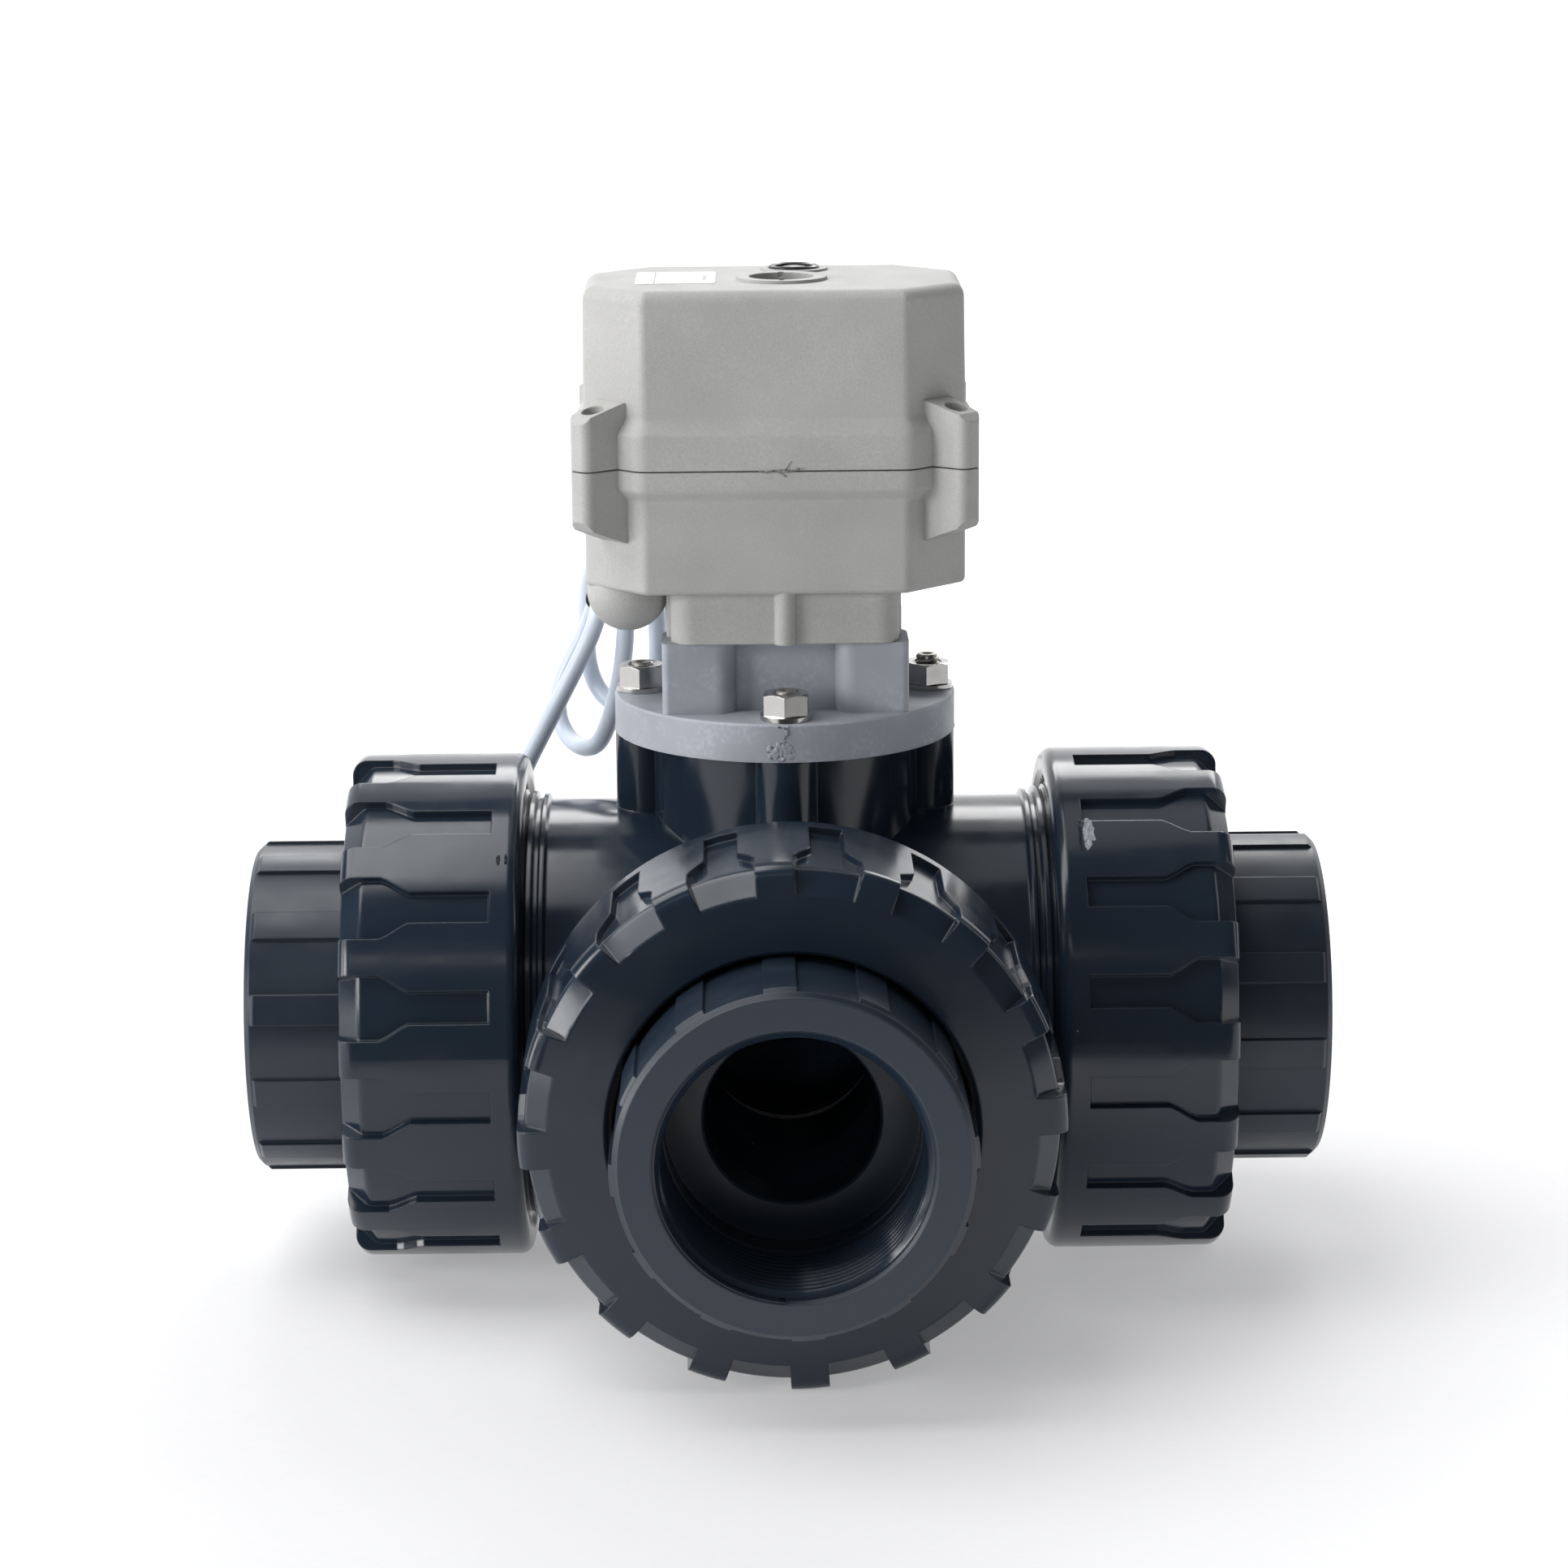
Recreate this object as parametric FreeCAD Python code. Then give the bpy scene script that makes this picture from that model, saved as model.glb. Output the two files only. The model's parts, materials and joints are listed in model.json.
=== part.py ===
"""Motorised three-way ball valve with true-union ends and a quarter-turn electric actuator.

The model is drawn about the point where the port axes cross (X right, Y back, Z up, in
millimetres).  Every exported part is then moved by OFFSET, so that the origin is at the
middle of the footprint, on the surface that the valve stands on.
"""
import FreeCAD, Part
import math
import os

V = FreeCAD.Vector

# ---------------------------------------------------------------- driving dimensions
PORT_FACE = 126.5          # centre of the valve to a port face
BARREL_R = 49.0            # outside of the body's barrels
FLOW_R = 19.5              # flow passage
BALL_R = 34.0
BALL_GAP = 0.12            # running gap between the ball and its seats

NUT_R = 60.2               # union nut over its ribs
NUT_BASE_R = 58.5          # union nut between its ribs
NUT_START = 61.5           # nut rim, measured along a port axis
NUT_END = 102.9            # nut front face
NUT_RIBS = 16
NUT_BORE_R = 53.8
NUT_HOLE_R = 40.3

BODY_END = 79.0            # end face of the body's spigots
SPIGOT_BORE_R = 35.0
THREAD_PITCH = 4.0         # union thread
THREAD_ROOT_R = 51.4
THREAD_CREST_R = 53.4

CONNECTOR_R = 38.7         # end connector between its ribs
CONNECTOR_RIB_R = 39.5
CONNECTOR_RIBS = 12
CONNECTOR_FLANGE_R = 53.2
PORT_THREAD_R = 29.81      # G2 female thread, major radius
PORT_THREAD_LENGTH = 27.0

BOSS_R = 31.5              # round neck on top of the body
COLUMN_R = 7.2             # four stud columns around that neck
COLUMN_PCD_R = 33.0
BODY_TOP = 67.8
FLANGE_R = 40.2
FLANGE_TOP = 76.9
PEDESTAL_HALF = 28.4
PEDESTAL_TOP = 93.4
PEDESTAL_RECESS = 5.0      # depth of the recess in each side of the pedestal
PEDESTAL_RECESS_HALF = 11.5
STUD_PCD_R = 33.8
STUD_R = 3.0
STUD_TOPS = (84.9, 84.2, 83.6, 83.6)   # right, back, left and front

STEM_R = 9.0
STEM_SQUARE = 11.0
RUNNING = 0.05             # radial clearance of a shaft in its bore

HOUSING_X = (-45.8, 41.8)
HOUSING_Y = (-32.0, 24.0)
HOUSING_CHAMFER = 13.8     # leg of the 45 degree vertical corners
HOUSING_EDGE_R = 2.6
HOUSING_DRAFT = 0.4        # how much the cover narrows on each side up to its top
HOUSING_FLOOR = 105.3
PARTING = 134.0            # joint between the lower housing and the upper cover
COVER_TOP = 174.5
WALL = 2.8
LIP = 2.5                  # how far the lip at the joint stands proud
LIP_LOWER_Z = (126.5, 130.0)   # the lower housing swells out to the lip between these
LIP_UPPER_Z = (146.3, 141.8)   # and so does the cover
JOINT_GAP = 0.3            # gap left by the gasket
LUG_WIDTH = 9.0
LUG_TIP_WIDTH = 6.0
LUG_LENGTH = 11.2
LUG_SCREW = 5.8            # distance of a cover screw from the corner's face

INDICATOR_Y = -7.5
OVERRIDE_ANGLE = 76.0
OVERRIDE_DISTANCE = 12.8

BULGE_R = 9.5              # swelling under the housing around the cable entry
BULGE_Z = 103.7
BULGE_FRONT_Y = -14.3
GLAND_X = -37.3
GLAND_Z = 104.5
GLAND_FLATS = 16.0
GLAND_THREAD_R = 6.0
GLAND_EXIT_Y = 43.0
CABLE_R = 2.2
FLOOR_Z = -NUT_R

OFFSET = V(0.0, 33.15, 60.2)

# Port name: axis out of the valve, direction of zero angle, phase of the connector's ribs,
# phase of the nut's ribs (both in degrees about the axis).
PORTS = {
    "left": (V(-1, 0, 0), V(0, -1, 0), 14.5, 4.1),
    "right": (V(1, 0, 0), V(0, -1, 0), 4.6, -6.1),
    "front": (V(0, -1, 0), V(1, 0, 0), 4.0, 3.4),
}

# Axes of the gear train (x, y), and its teeth and modules.
OUTPUT_TEETH = 40
IDLER_PINION_TEETH = 12
IDLER_WHEEL_TEETH = 30
MOTOR_TEETH = 10
OVERRIDE_WHEEL_TEETH = 20
OVERRIDE_TEETH = 12
INDICATOR_TEETH = 15
OUTPUT_MODULE = 1.0
FINE_MODULE = 0.8
INDICATOR_MODULE = 0.5
IDLER_ANGLE = 178.0
MOTOR_ANGLE = -80.0

GEAR_LEVEL_A = (112.0, 118.0)
GEAR_LEVEL_B = (119.0, 123.0)
PLATE_Z = (124.0, 126.0)
OVERRIDE_LEVEL = (128.0, 132.0)
INDICATOR_LEVEL = (150.0, 153.0)
BOARD_Z = (158.0, 159.6)
POSTS = ((-32.0, 15.6), (-39.5, -13.0), (30.0, -21.5), (31.0, 13.0))


# ---------------------------------------------------------------- shape helpers
def cyl(r, z0, z1, x=0.0, y=0.0):
    """Upright cylinder."""
    return Part.makeCylinder(r, z1 - z0, V(x, y, z0))


def tube(r_out, r_in, z0, z1, x=0.0, y=0.0):
    """Upright tube."""
    return cyl(r_out, z0, z1, x, y).cut(cyl(r_in, z0 - 1, z1 + 1, x, y))


def box(x0, x1, y0, y1, z0, z1):
    return Part.makeBox(x1 - x0, y1 - y0, z1 - z0, V(x0, y0, z0))


def prism(points, z0, z1):
    """Upright prism on a closed outline of (x, y) points."""
    outline = [V(x, y, z0) for x, y in points]
    face = Part.Face(Part.makePolygon(outline + outline[:1]))
    return face.extrude(V(0, 0, z1 - z0))


def turned(profile):
    """Solid of revolution about Z. A profile item is (r, z), or ("arc", (r, z), (r, z))
    for an arc that runs through the first of its two points to the second."""
    start = V(profile[0][0], 0, profile[0][1])
    at = start
    edges = []
    for item in profile[1:] + profile[:1]:
        if item[0] == "arc":
            middle = V(item[1][0], 0, item[1][1])
            end = V(item[2][0], 0, item[2][1])
            edges.append(Part.Arc(at, middle, end).toShape())
        else:
            end = V(item[0], 0, item[1])
            edges.append(Part.LineSegment(at, end).toShape())
        at = end
    face = Part.Face(Part.Wire(edges))
    solid = face.revolve(V(0, 0, 0), V(0, 0, 1), 360)
    return solid if solid.ShapeType == "Solid" else Part.Solid(solid)


def rounding(r, z, radius, turn):
    """Middle point of a quarter round centred on (r, z), towards the angle turn."""
    a = math.radians(turn)
    return (r + radius * math.cos(a), z + radius * math.sin(a))


def placed(shape, axis, zero, roll=0.0, origin=V(0, 0, 0)):
    """Turns a shape drawn along +Z, so that +Z lies along axis and +X along zero."""
    side = axis.cross(zero)
    m = FreeCAD.Matrix(
        zero.x, side.x, axis.x, origin.x,
        zero.y, side.y, axis.y, origin.y,
        zero.z, side.z, axis.z, origin.z,
        0, 0, 0, 1,
    )
    result = shape.copy()
    result.rotate(V(0, 0, 0), V(0, 0, 1), roll)
    result.transformShape(m)
    return result


def along_port(shape, name, roll=0.0):
    return placed(shape, PORTS[name][0], PORTS[name][1], roll)


def at_ports(shape, *others):
    """A copy of a shape at each of the three ports, with any others, as one group."""
    return Part.makeCompound([along_port(shape, name) for name in PORTS] + list(others))


def along_y(shape, x, z):
    """Turns a shape drawn along +Z to lie along +Y through (x, z)."""
    return placed(shape, V(0, 1, 0), V(1, 0, 0), 0.0, V(x, 0, z))


def around(shape, count, start=0.0):
    """Copies of a shape, evenly spaced about Z."""
    copies = []
    for i in range(count):
        item = shape.copy()
        item.rotate(V(0, 0, 0), V(0, 0, 1), start + 360.0 * i / count)
        copies.append(item)
    return copies


def fuse(first, *others):
    items = [o for o in others if o is not None]
    return first.multiFuse(items).removeSplitter() if items else first


def cut(first, *others):
    for other in others:
        first = first.cut(other)
    return first


def torus(major, minor, z):
    """O-ring about Z."""
    return Part.makeTorus(major, minor, V(0, 0, z), V(0, 0, 1))


def hexagon(flats, z0, z1, x=0.0, y=0.0, start=0.0):
    corner = flats / math.sqrt(3)
    turns = [math.radians(start + 60 * i) for i in range(6)]
    return prism([(x + corner * math.cos(a), y + corner * math.sin(a)) for a in turns], z0, z1)


def square(size, z0, z1):
    half = size / 2
    return box(-half, half, -half, half, z0, z1)


def upright_edges(shape, keep):
    """The vertical straight edges whose middle passes the test keep(x, y)."""
    found = []
    for edge in shape.Edges:
        a = edge.Vertexes[0].Point
        b = edge.Vertexes[-1].Point
        if abs(a.z - b.z) > 0.5 and math.hypot(a.x - b.x, a.y - b.y) < 0.01:
            if keep((a.x + b.x) / 2, (a.y + b.y) / 2):
                found.append(edge)
    return found


def level_edges(shape, z):
    """The edges that lie at height z."""
    return [e for e in shape.Edges if all(abs(v.Z - z) < 0.01 for v in e.Vertexes)]


def anywhere(x, y):
    return True


def at_corner(x, y):
    """True at the four corners of the pedestal's outline."""
    return min(abs(x), abs(y)) > PEDESTAL_RECESS_HALF + 5


# ---------------------------------------------------------------- toothed wheels
PRESSURE = math.radians(25)
ADDENDUM = 0.8
DEDENDUM = 1.05


def involute(angle):
    return math.tan(angle) - angle


def gear(teeth, module, z0, z1, phase, backlash=0.16):
    """Spur gear about Z with a tooth centred on the angle phase (degrees)."""
    pitch_r = teeth * module / 2
    base_r = pitch_r * math.cos(PRESSURE)
    root_r = pitch_r - DEDENDUM * module
    tip_r = pitch_r + ADDENDUM * module
    half = math.pi / (2 * teeth) - backlash / (4 * pitch_r)
    start_r = max(base_r, root_r + 0.02 * module)
    flank = []
    for i in range(4):
        r = start_r + (tip_r - start_r) * i / 3
        flank.append((r, half + involute(PRESSURE) - involute(math.acos(base_r / r))))
    outline = []
    for i in range(teeth):
        middle = math.radians(phase) + 2 * math.pi * i / teeth
        side = [(root_r, flank[0][1])] + flank
        for r, a in side:
            outline.append((r, middle - a))
        for r, a in reversed(side):
            outline.append((r, middle + a))
    return prism([(r * math.cos(a), r * math.sin(a)) for r, a in outline], z0, z1)


def meshing_phase(driver_teeth, driver_phase, driven_teeth, direction):
    """Phase of a gear that lies in the given direction from a gear it meshes with."""
    return (
        direction + 180.0 + 180.0 / driven_teeth
        - driver_teeth / driven_teeth * (driver_phase - direction)
    )


def polar(x, y, distance, angle):
    a = math.radians(angle)
    return (x + distance * math.cos(a), y + distance * math.sin(a))


IDLER_AXIS = polar(0, 0, (OUTPUT_TEETH + IDLER_PINION_TEETH) * OUTPUT_MODULE / 2, IDLER_ANGLE)
MOTOR_AXIS = polar(*IDLER_AXIS, (IDLER_WHEEL_TEETH + MOTOR_TEETH) * FINE_MODULE / 2, MOTOR_ANGLE)
OVERRIDE_AXIS = polar(0, 0, OVERRIDE_DISTANCE, OVERRIDE_ANGLE)


# ---------------------------------------------------------------- valve body and unions
def spigot():
    """One barrel of the body, from the centre to its threaded end, along +Z."""
    profile = [
        (0, 0), (BARREL_R, 0), (BARREL_R, 56.0),
        (50.4, 56.6), (50.4, 57.6), (49.4, 58.0), (49.4, 59.0),
        (51.0, 59.4), (51.0, 60.6), (50.2, 61.0), (50.2, 61.8), (THREAD_ROOT_R, 62.0),
    ]
    z = 62.6
    while z + THREAD_PITCH < BODY_END + 1:
        profile += [
            (THREAD_ROOT_R, z), (THREAD_CREST_R, z + 1.0),
            (THREAD_CREST_R, z + 2.0), (THREAD_ROOT_R, z + 3.0),
        ]
        z += THREAD_PITCH
    profile += [(THREAD_ROOT_R, BODY_END), (0, BODY_END)]
    return turned(profile)


def port_cavity():
    """What is hollow along one port of the body: the ball's bore, the carrier's bore and
    the groove for the face seal."""
    bore = turned([
        (0, 0), (30.2, 0), (30.2, 35.2), (SPIGOT_BORE_R, 35.2),
        (SPIGOT_BORE_R, BODY_END - 1.0), (SPIGOT_BORE_R + 1.0, BODY_END + 0.1), (0, BODY_END + 0.1),
    ])
    groove = tube(44.6, 41.4, BODY_END - 2.9, BODY_END + 1)
    return bore.fuse(groove)


def valve_body():
    outer = [along_port(spigot(), name) for name in PORTS]
    back = turned([
        (0, 0), (44.0, 0), (44.0, 49.0), ("arc", rounding(39.0, 49.0, 5.0, 45), (39.0, 54.0)), (0, 54.0),
    ])
    outer.append(along_y(back, 0, 0))
    outer.append(cyl(BOSS_R, 0, BODY_TOP))
    for i in range(4):
        x, y = polar(0, 0, COLUMN_PCD_R, 90 * i)
        outer.append(cyl(COLUMN_R, 20, BODY_TOP, x, y))
    body = fuse(outer[0], *outer[1:])
    body = cut(body, Part.makeSphere(BALL_R + 1.5), *[along_port(port_cavity(), n) for n in PORTS])
    body = cut(body, along_y(cyl(26.1, 0, 33.1), 0, 0))
    body = cut(
        body,
        cyl(13.3, 30, 41.2),
        cyl(STEM_R + RUNNING, 30, BODY_TOP + 1),
        cyl(16.1, 61.8, BODY_TOP + 1),
        tube(26.6, 23.4, BODY_TOP - 2.2, BODY_TOP + 1),
    )
    for i in range(4):
        x, y = polar(0, 0, STUD_PCD_R, 90 * i)
        body = body.cut(cyl(STUD_R, 49.5, BODY_TOP + 1, x, y))
    return body


def nut_outer(radius, shoulder):
    """Outside of the union nut: plain round rim, then the given front shoulder."""
    return [
        (0, NUT_START), (57.4, NUT_START),
        ("arc", rounding(57.4, NUT_START + 2.8, 2.8, -45), (NUT_R, NUT_START + 2.8)),
        (NUT_R, 68.3), (radius, 68.5), *shoulder, (0, NUT_END),
    ]


def round_shoulder(radius, corner):
    """Quarter round from the side to the front face."""
    low = NUT_END - corner
    return [(radius, low), ("arc", rounding(radius - corner, low, corner, 45), (radius - corner, NUT_END))]


def chamfered_shoulder(radius, leg, outer_r, inner_r):
    """45 degree chamfer with both of its corners rounded."""
    trim = math.tan(math.radians(22.5))
    r0, z0 = radius - outer_r, NUT_END - leg - outer_r * trim
    r1, z1 = radius - leg - inner_r * trim, NUT_END - inner_r
    return [
        (radius, z0), ("arc", rounding(r0, z0, outer_r, 22.5), rounding(r0, z0, outer_r, 45)),
        rounding(r1, z1, inner_r, 45), ("arc", rounding(r1, z1, inner_r, 67.5), (r1, NUT_END)),
    ]


def union_nut():
    """Ribbed union nut along +Z, one rib centred on the zero angle."""
    base = turned(nut_outer(NUT_BASE_R, chamfered_shoulder(NUT_BASE_R, 5.0, 2.0, 1.0)))
    full = turned(nut_outer(NUT_R, round_shoulder(NUT_R, 3.6)))
    core = turned([
        (0, 68.0), (NUT_BASE_R - 1.0, 68.0), (NUT_BASE_R - 1.0, 96.0),
        (49.0, NUT_END - 0.8), (0, NUT_END - 0.8),
    ])
    half_outline = [(68.2, 8.0), (86.6, 8.0), (88.2, 7.2), (91.6, 5.0), (93.2, 4.25), (104.0, 4.25)]
    outline = half_outline + [(z, -w) for z, w in reversed(half_outline)]
    corners = [V(45.0, w, z) for z, w in outline]
    rib = Part.Face(Part.makePolygon(corners + corners[:1])).extrude(V(20.0, 0, 0))
    ribs = [full.cut(core).common(r) for r in around(rib, NUT_RIBS)]
    hollow = turned([
        (0, NUT_START - 1), (NUT_BORE_R + 1.2, NUT_START - 1), (NUT_BORE_R + 1.2, NUT_START),
        (NUT_BORE_R, NUT_START + 1.2), (NUT_BORE_R, 90.6), (NUT_HOLE_R, 90.6),
        (NUT_HOLE_R, NUT_END - 0.8), (NUT_HOLE_R + 0.9, NUT_END + 0.1), (0, NUT_END + 0.1),
    ])
    return fuse(base, *ribs).cut(hollow)


def union_connector():
    """Threaded end connector along +Z, held by its flange under the union nut."""
    step = 92.0
    thread_start = PORT_FACE - PORT_THREAD_LENGTH
    solid = turned([
        (FLOW_R, BODY_END + 0.1), (CONNECTOR_FLANGE_R, BODY_END + 0.1), (CONNECTOR_FLANGE_R, 90.3),
        (CONNECTOR_R, 90.3), (CONNECTOR_R, PORT_FACE - 1.2), (CONNECTOR_R - 1.2, PORT_FACE),
        (PORT_THREAD_R + 0.77, PORT_FACE), (PORT_THREAD_R, PORT_FACE - 0.77),
        (PORT_THREAD_R, thread_start), (28.2, thread_start), (28.2, step),
        (FLOW_R + 0.6, step), (FLOW_R, step - 0.6),
    ])
    half = math.radians(5.2)
    rim = CONNECTOR_RIB_R
    rib = turned([
        (CONNECTOR_R - 0.6, 91.0), (rim, 91.0), (rim, PORT_FACE - 2.2),
        (rim - 2.0, PORT_FACE - 0.2), (CONNECTOR_R - 1.4, PORT_FACE - 0.2),
    ])
    reach = rim + 2
    wedge = prism([(20.0, -20.0 * math.tan(half)), (reach, -reach * math.tan(half)),
                   (reach, reach * math.tan(half)), (20.0, 20.0 * math.tan(half))], 90.0, PORT_FACE)
    return fuse(solid, *[rib.common(w) for w in around(wedge, CONNECTOR_RIBS)])


# ---------------------------------------------------------------- ball, seats and stem
def seat_profile(back):
    """Seat ring along +Z: a spherical face against the ball, with a flat back."""
    face_r = BALL_R + BALL_GAP
    inner, outer = 20.4, 23.8
    middle = (inner + outer) / 2
    return [
        (inner, math.sqrt(face_r ** 2 - inner ** 2)),
        ("arc", (middle, math.sqrt(face_r ** 2 - middle ** 2)),
         (outer, math.sqrt(face_r ** 2 - outer ** 2))),
        (26.0, 26.9), (26.0, back), (inner, back),
    ]


def ball_seat():
    return turned(seat_profile(33.0))


def seat_carrier():
    """Threaded ring that holds a seat against the ball, with key slots in its outer end."""
    ring = turned([
        (FLOW_R, 33.1), (26.1, 33.1), (26.1, 30.4), (30.0, 30.4), (30.0, 35.4), (34.9, 35.4),
        (34.9, 45.0), (32.2, 45.0), (32.2, 48.2), (34.9, 48.2), (34.9, 62.0), (FLOW_R + 6, 62.0),
        (FLOW_R, 56.0),
    ])
    return cut(ring, box(-40, 40, -3, 3, 58.0, 63.0))


def diverter_ball():
    """Ball with an L-shaped passage from its front to its left."""
    ball = Part.makeSphere(BALL_R)
    passages = [along_port(cyl(FLOW_R, 0, BALL_R + 2), name) for name in ("front", "left")]
    ball = cut(ball, Part.makeSphere(FLOW_R), *passages)
    return cut(ball, box(-13.0, 13.0, -4.1, 4.1, 26.0, BALL_R + 1))


def valve_stem():
    blade = box(-12.0, 12.0, -4.0, 4.0, 26.2, 36.2)
    shaft = turned([
        (0, 36.0), (13.0, 36.0), (13.0, 40.4), (STEM_R, 40.4), (STEM_R, 48.0), (7.2, 48.0),
        (7.2, 50.4), (STEM_R, 50.4), (STEM_R, 55.0), (7.2, 55.0), (7.2, 57.4), (STEM_R, 57.4),
        (STEM_R, 77.4), (0, 77.4),
    ])
    return fuse(shaft, blade.common(cyl(12.4, 20, 40)), square(STEM_SQUARE, 77.0, 86.2))


def stem_seals():
    return Part.makeCompound([torus(8.13, 0.9, z) for z in (49.2, 56.2)])


def thrust_washer():
    return tube(13.0, STEM_R + 0.3, 40.45, 41.1)


# ---------------------------------------------------------------- bonnet
def bonnet_flange():
    """Round flange with a square pedestal, recessed in the middle of each side."""
    pedestal = box(-PEDESTAL_HALF, PEDESTAL_HALF, -PEDESTAL_HALF, PEDESTAL_HALF, FLANGE_TOP - 1, PEDESTAL_TOP)
    depth = PEDESTAL_HALF - PEDESTAL_RECESS
    recess = box(depth, PEDESTAL_HALF + 1, -PEDESTAL_RECESS_HALF, PEDESTAL_RECESS_HALF, FLANGE_TOP, 100)
    pedestal = cut(pedestal, *around(recess, 4))
    outer_edges = upright_edges(pedestal, at_corner)
    pedestal = pedestal.makeFillet(1.6, outer_edges)
    pad_edges = upright_edges(
        pedestal,
        lambda x, y: max(abs(x), abs(y)) > PEDESTAL_HALF - 0.1
        and abs(min(abs(x), abs(y)) - PEDESTAL_RECESS_HALF) < 0.1,
    )
    pedestal = pedestal.makeFillet(PEDESTAL_RECESS - 0.4, pad_edges)
    flange = turned([
        (0, BODY_TOP + 0.1), (FLANGE_R - 0.3, BODY_TOP + 0.1), (FLANGE_R, BODY_TOP + 0.4),
        (FLANGE_R, FLANGE_TOP - 0.5), (FLANGE_R - 0.5, FLANGE_TOP), (0, FLANGE_TOP),
    ])
    bonnet = fuse(flange, pedestal, cyl(16.0, 62.0, BODY_TOP + 1))
    bonnet = cut(bonnet, cyl(STEM_R + RUNNING, 60, 80), cyl(16.0, 78.6, PEDESTAL_TOP + 1))
    for i in range(4):
        x, y = polar(0, 0, STUD_PCD_R, 90 * i)
        bonnet = bonnet.cut(cyl(STUD_R + 0.2, BODY_TOP - 1, FLANGE_TOP + 1, x, y))
        x, y = polar(0, 0, 30.0, 45 + 90 * i)
        bonnet = bonnet.cut(cyl(2.65, BODY_TOP - 1, PEDESTAL_TOP + 1, x, y))
        bonnet = bonnet.cut(cyl(5.0, BODY_TOP - 1, BODY_TOP + 6.0, x, y))
    return bonnet


def bonnet_seal():
    return torus(25.0, 1.1, BODY_TOP - 1.05)


def bonnet_studs():
    """Four studs with a dimple in their upper ends, each screwed in to its own depth."""
    studs = []
    for i, top in enumerate(STUD_TOPS):
        stud = turned([
            (0, 50.0), (2.6, 50.0), (STUD_R - 0.05, 50.4), (STUD_R - 0.05, top - 0.4), (2.5, top),
            (1.6, top), (1.2, top - 0.7), (0, top - 0.7),
        ])
        x, y = polar(0, 0, STUD_PCD_R, 90 * i)
        studs.append(stud.translated(V(x, y, 0)))
    return Part.makeCompound(studs)


def around_at(shape, radius, start):
    """Four copies of a shape drawn on the Z axis, on a circle."""
    copies = []
    for i in range(4):
        x, y = polar(0, 0, radius, start + 90 * i)
        copies.append(shape.translated(V(x, y, 0)))
    return copies


def bonnet_washers():
    washer = tube(6.0, 3.2, FLANGE_TOP, FLANGE_TOP + 1.2)
    return Part.makeCompound(around_at(washer, STUD_PCD_R, 0))


def bonnet_nuts():
    """Hexagon nuts, chamfered on top, with a corner towards the front."""
    low, high = FLANGE_TOP + 1.2, FLANGE_TOP + 6.2
    nut = hexagon(10.0, low, high, start=90.0 - 4.0)
    cone = turned([(0, low - 1), (6.2, low - 1), (6.2, high - 0.7), (4.9, high + 0.05), (0, high + 0.05)])
    nut = nut.common(cone).cut(turned([
        (0, low - 1), (STUD_R, low - 1), (STUD_R, high - 0.5), (STUD_R + 0.6, high + 0.1), (0, high + 0.1),
    ]))
    return Part.makeCompound(around_at(nut, STUD_PCD_R, 0))


def mounting_screws():
    """Cap screws from under the flange, up through the pedestal into the actuator's neck."""
    screw = turned([
        (0, 70.0), (2.0, 70.0), (2.0, 68.2), (4.2, 68.2), (4.2, 73.8), (2.5, 73.8), (2.5, 103.0), (0, 103.0),
    ])
    return Part.makeCompound(around_at(screw, 30.0, 45))


def drive_coupling():
    """Sleeve with a square socket at each end."""
    sleeve = cyl(13.0, 79.4, 95.4)
    return cut(sleeve, square(STEM_SQUARE + 0.1, 79.0, 86.3), square(STEM_SQUARE + 0.1, 86.3, 96.0))


# ---------------------------------------------------------------- actuator housing
def octagon(grow):
    """Outline of the housing, moved outwards by grow."""
    x0, x1 = HOUSING_X[0] - grow, HOUSING_X[1] + grow
    y0, y1 = HOUSING_Y[0] - grow, HOUSING_Y[1] + grow
    c = HOUSING_CHAMFER + grow * (2 - math.sqrt(2))
    return [
        (x0 + c, y0), (x1 - c, y0), (x1, y0 + c), (x1, y1 - c),
        (x1 - c, y1), (x0 + c, y1), (x0, y1 - c), (x0, y0 + c),
    ]


def rounded_octagon(grow, z):
    """The same outline at height z, with rounded corners, as a wire."""
    radius = HOUSING_EDGE_R + grow
    trim = radius * math.tan(math.radians(22.5))
    sag = radius / math.cos(math.radians(22.5)) - radius
    corners = [V(x, y, z) for x, y in octagon(grow)]
    arcs = []
    for i, corner in enumerate(corners):
        back = (corners[i - 1] - corner).normalize()
        ahead = (corners[(i + 1) % len(corners)] - corner).normalize()
        inward = (back + ahead).normalize()
        arcs.append((corner + back * trim, corner + inward * sag, corner + ahead * trim))
    edges = []
    for i, (start, middle, end) in enumerate(arcs):
        edges.append(Part.Arc(start, middle, end).toShape())
        edges.append(Part.LineSegment(end, arcs[(i + 1) % len(arcs)][0]).toShape())
    return Part.Wire(edges)


def straight(grow, z0, z1):
    """Length of housing with an upright side."""
    return Part.Face(rounded_octagon(grow, z0)).extrude(V(0, 0, z1 - z0))


def swelling(z_plain, z_full):
    """Smooth rise from the plain outline to the full lip."""
    steps = 6
    sections = []
    for i in range(steps + 1):
        t = i / steps
        sections.append(rounded_octagon(LIP * t * t * (3 - 2 * t), z_plain + (z_full - z_plain) * t))
    return Part.makeLoft(sections, True, False)


def lug_frames():
    """For each corner: middle of the chamfer and the outward direction."""
    frames = []
    half = HOUSING_CHAMFER / 2
    for x, sx in zip(HOUSING_X, (-1, 1)):
        for y, sy in zip(HOUSING_Y, (-1, 1)):
            frames.append((V(x - sx * half, y - sy * half, 0), V(sx, sy, 0).normalize()))
    return frames


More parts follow.
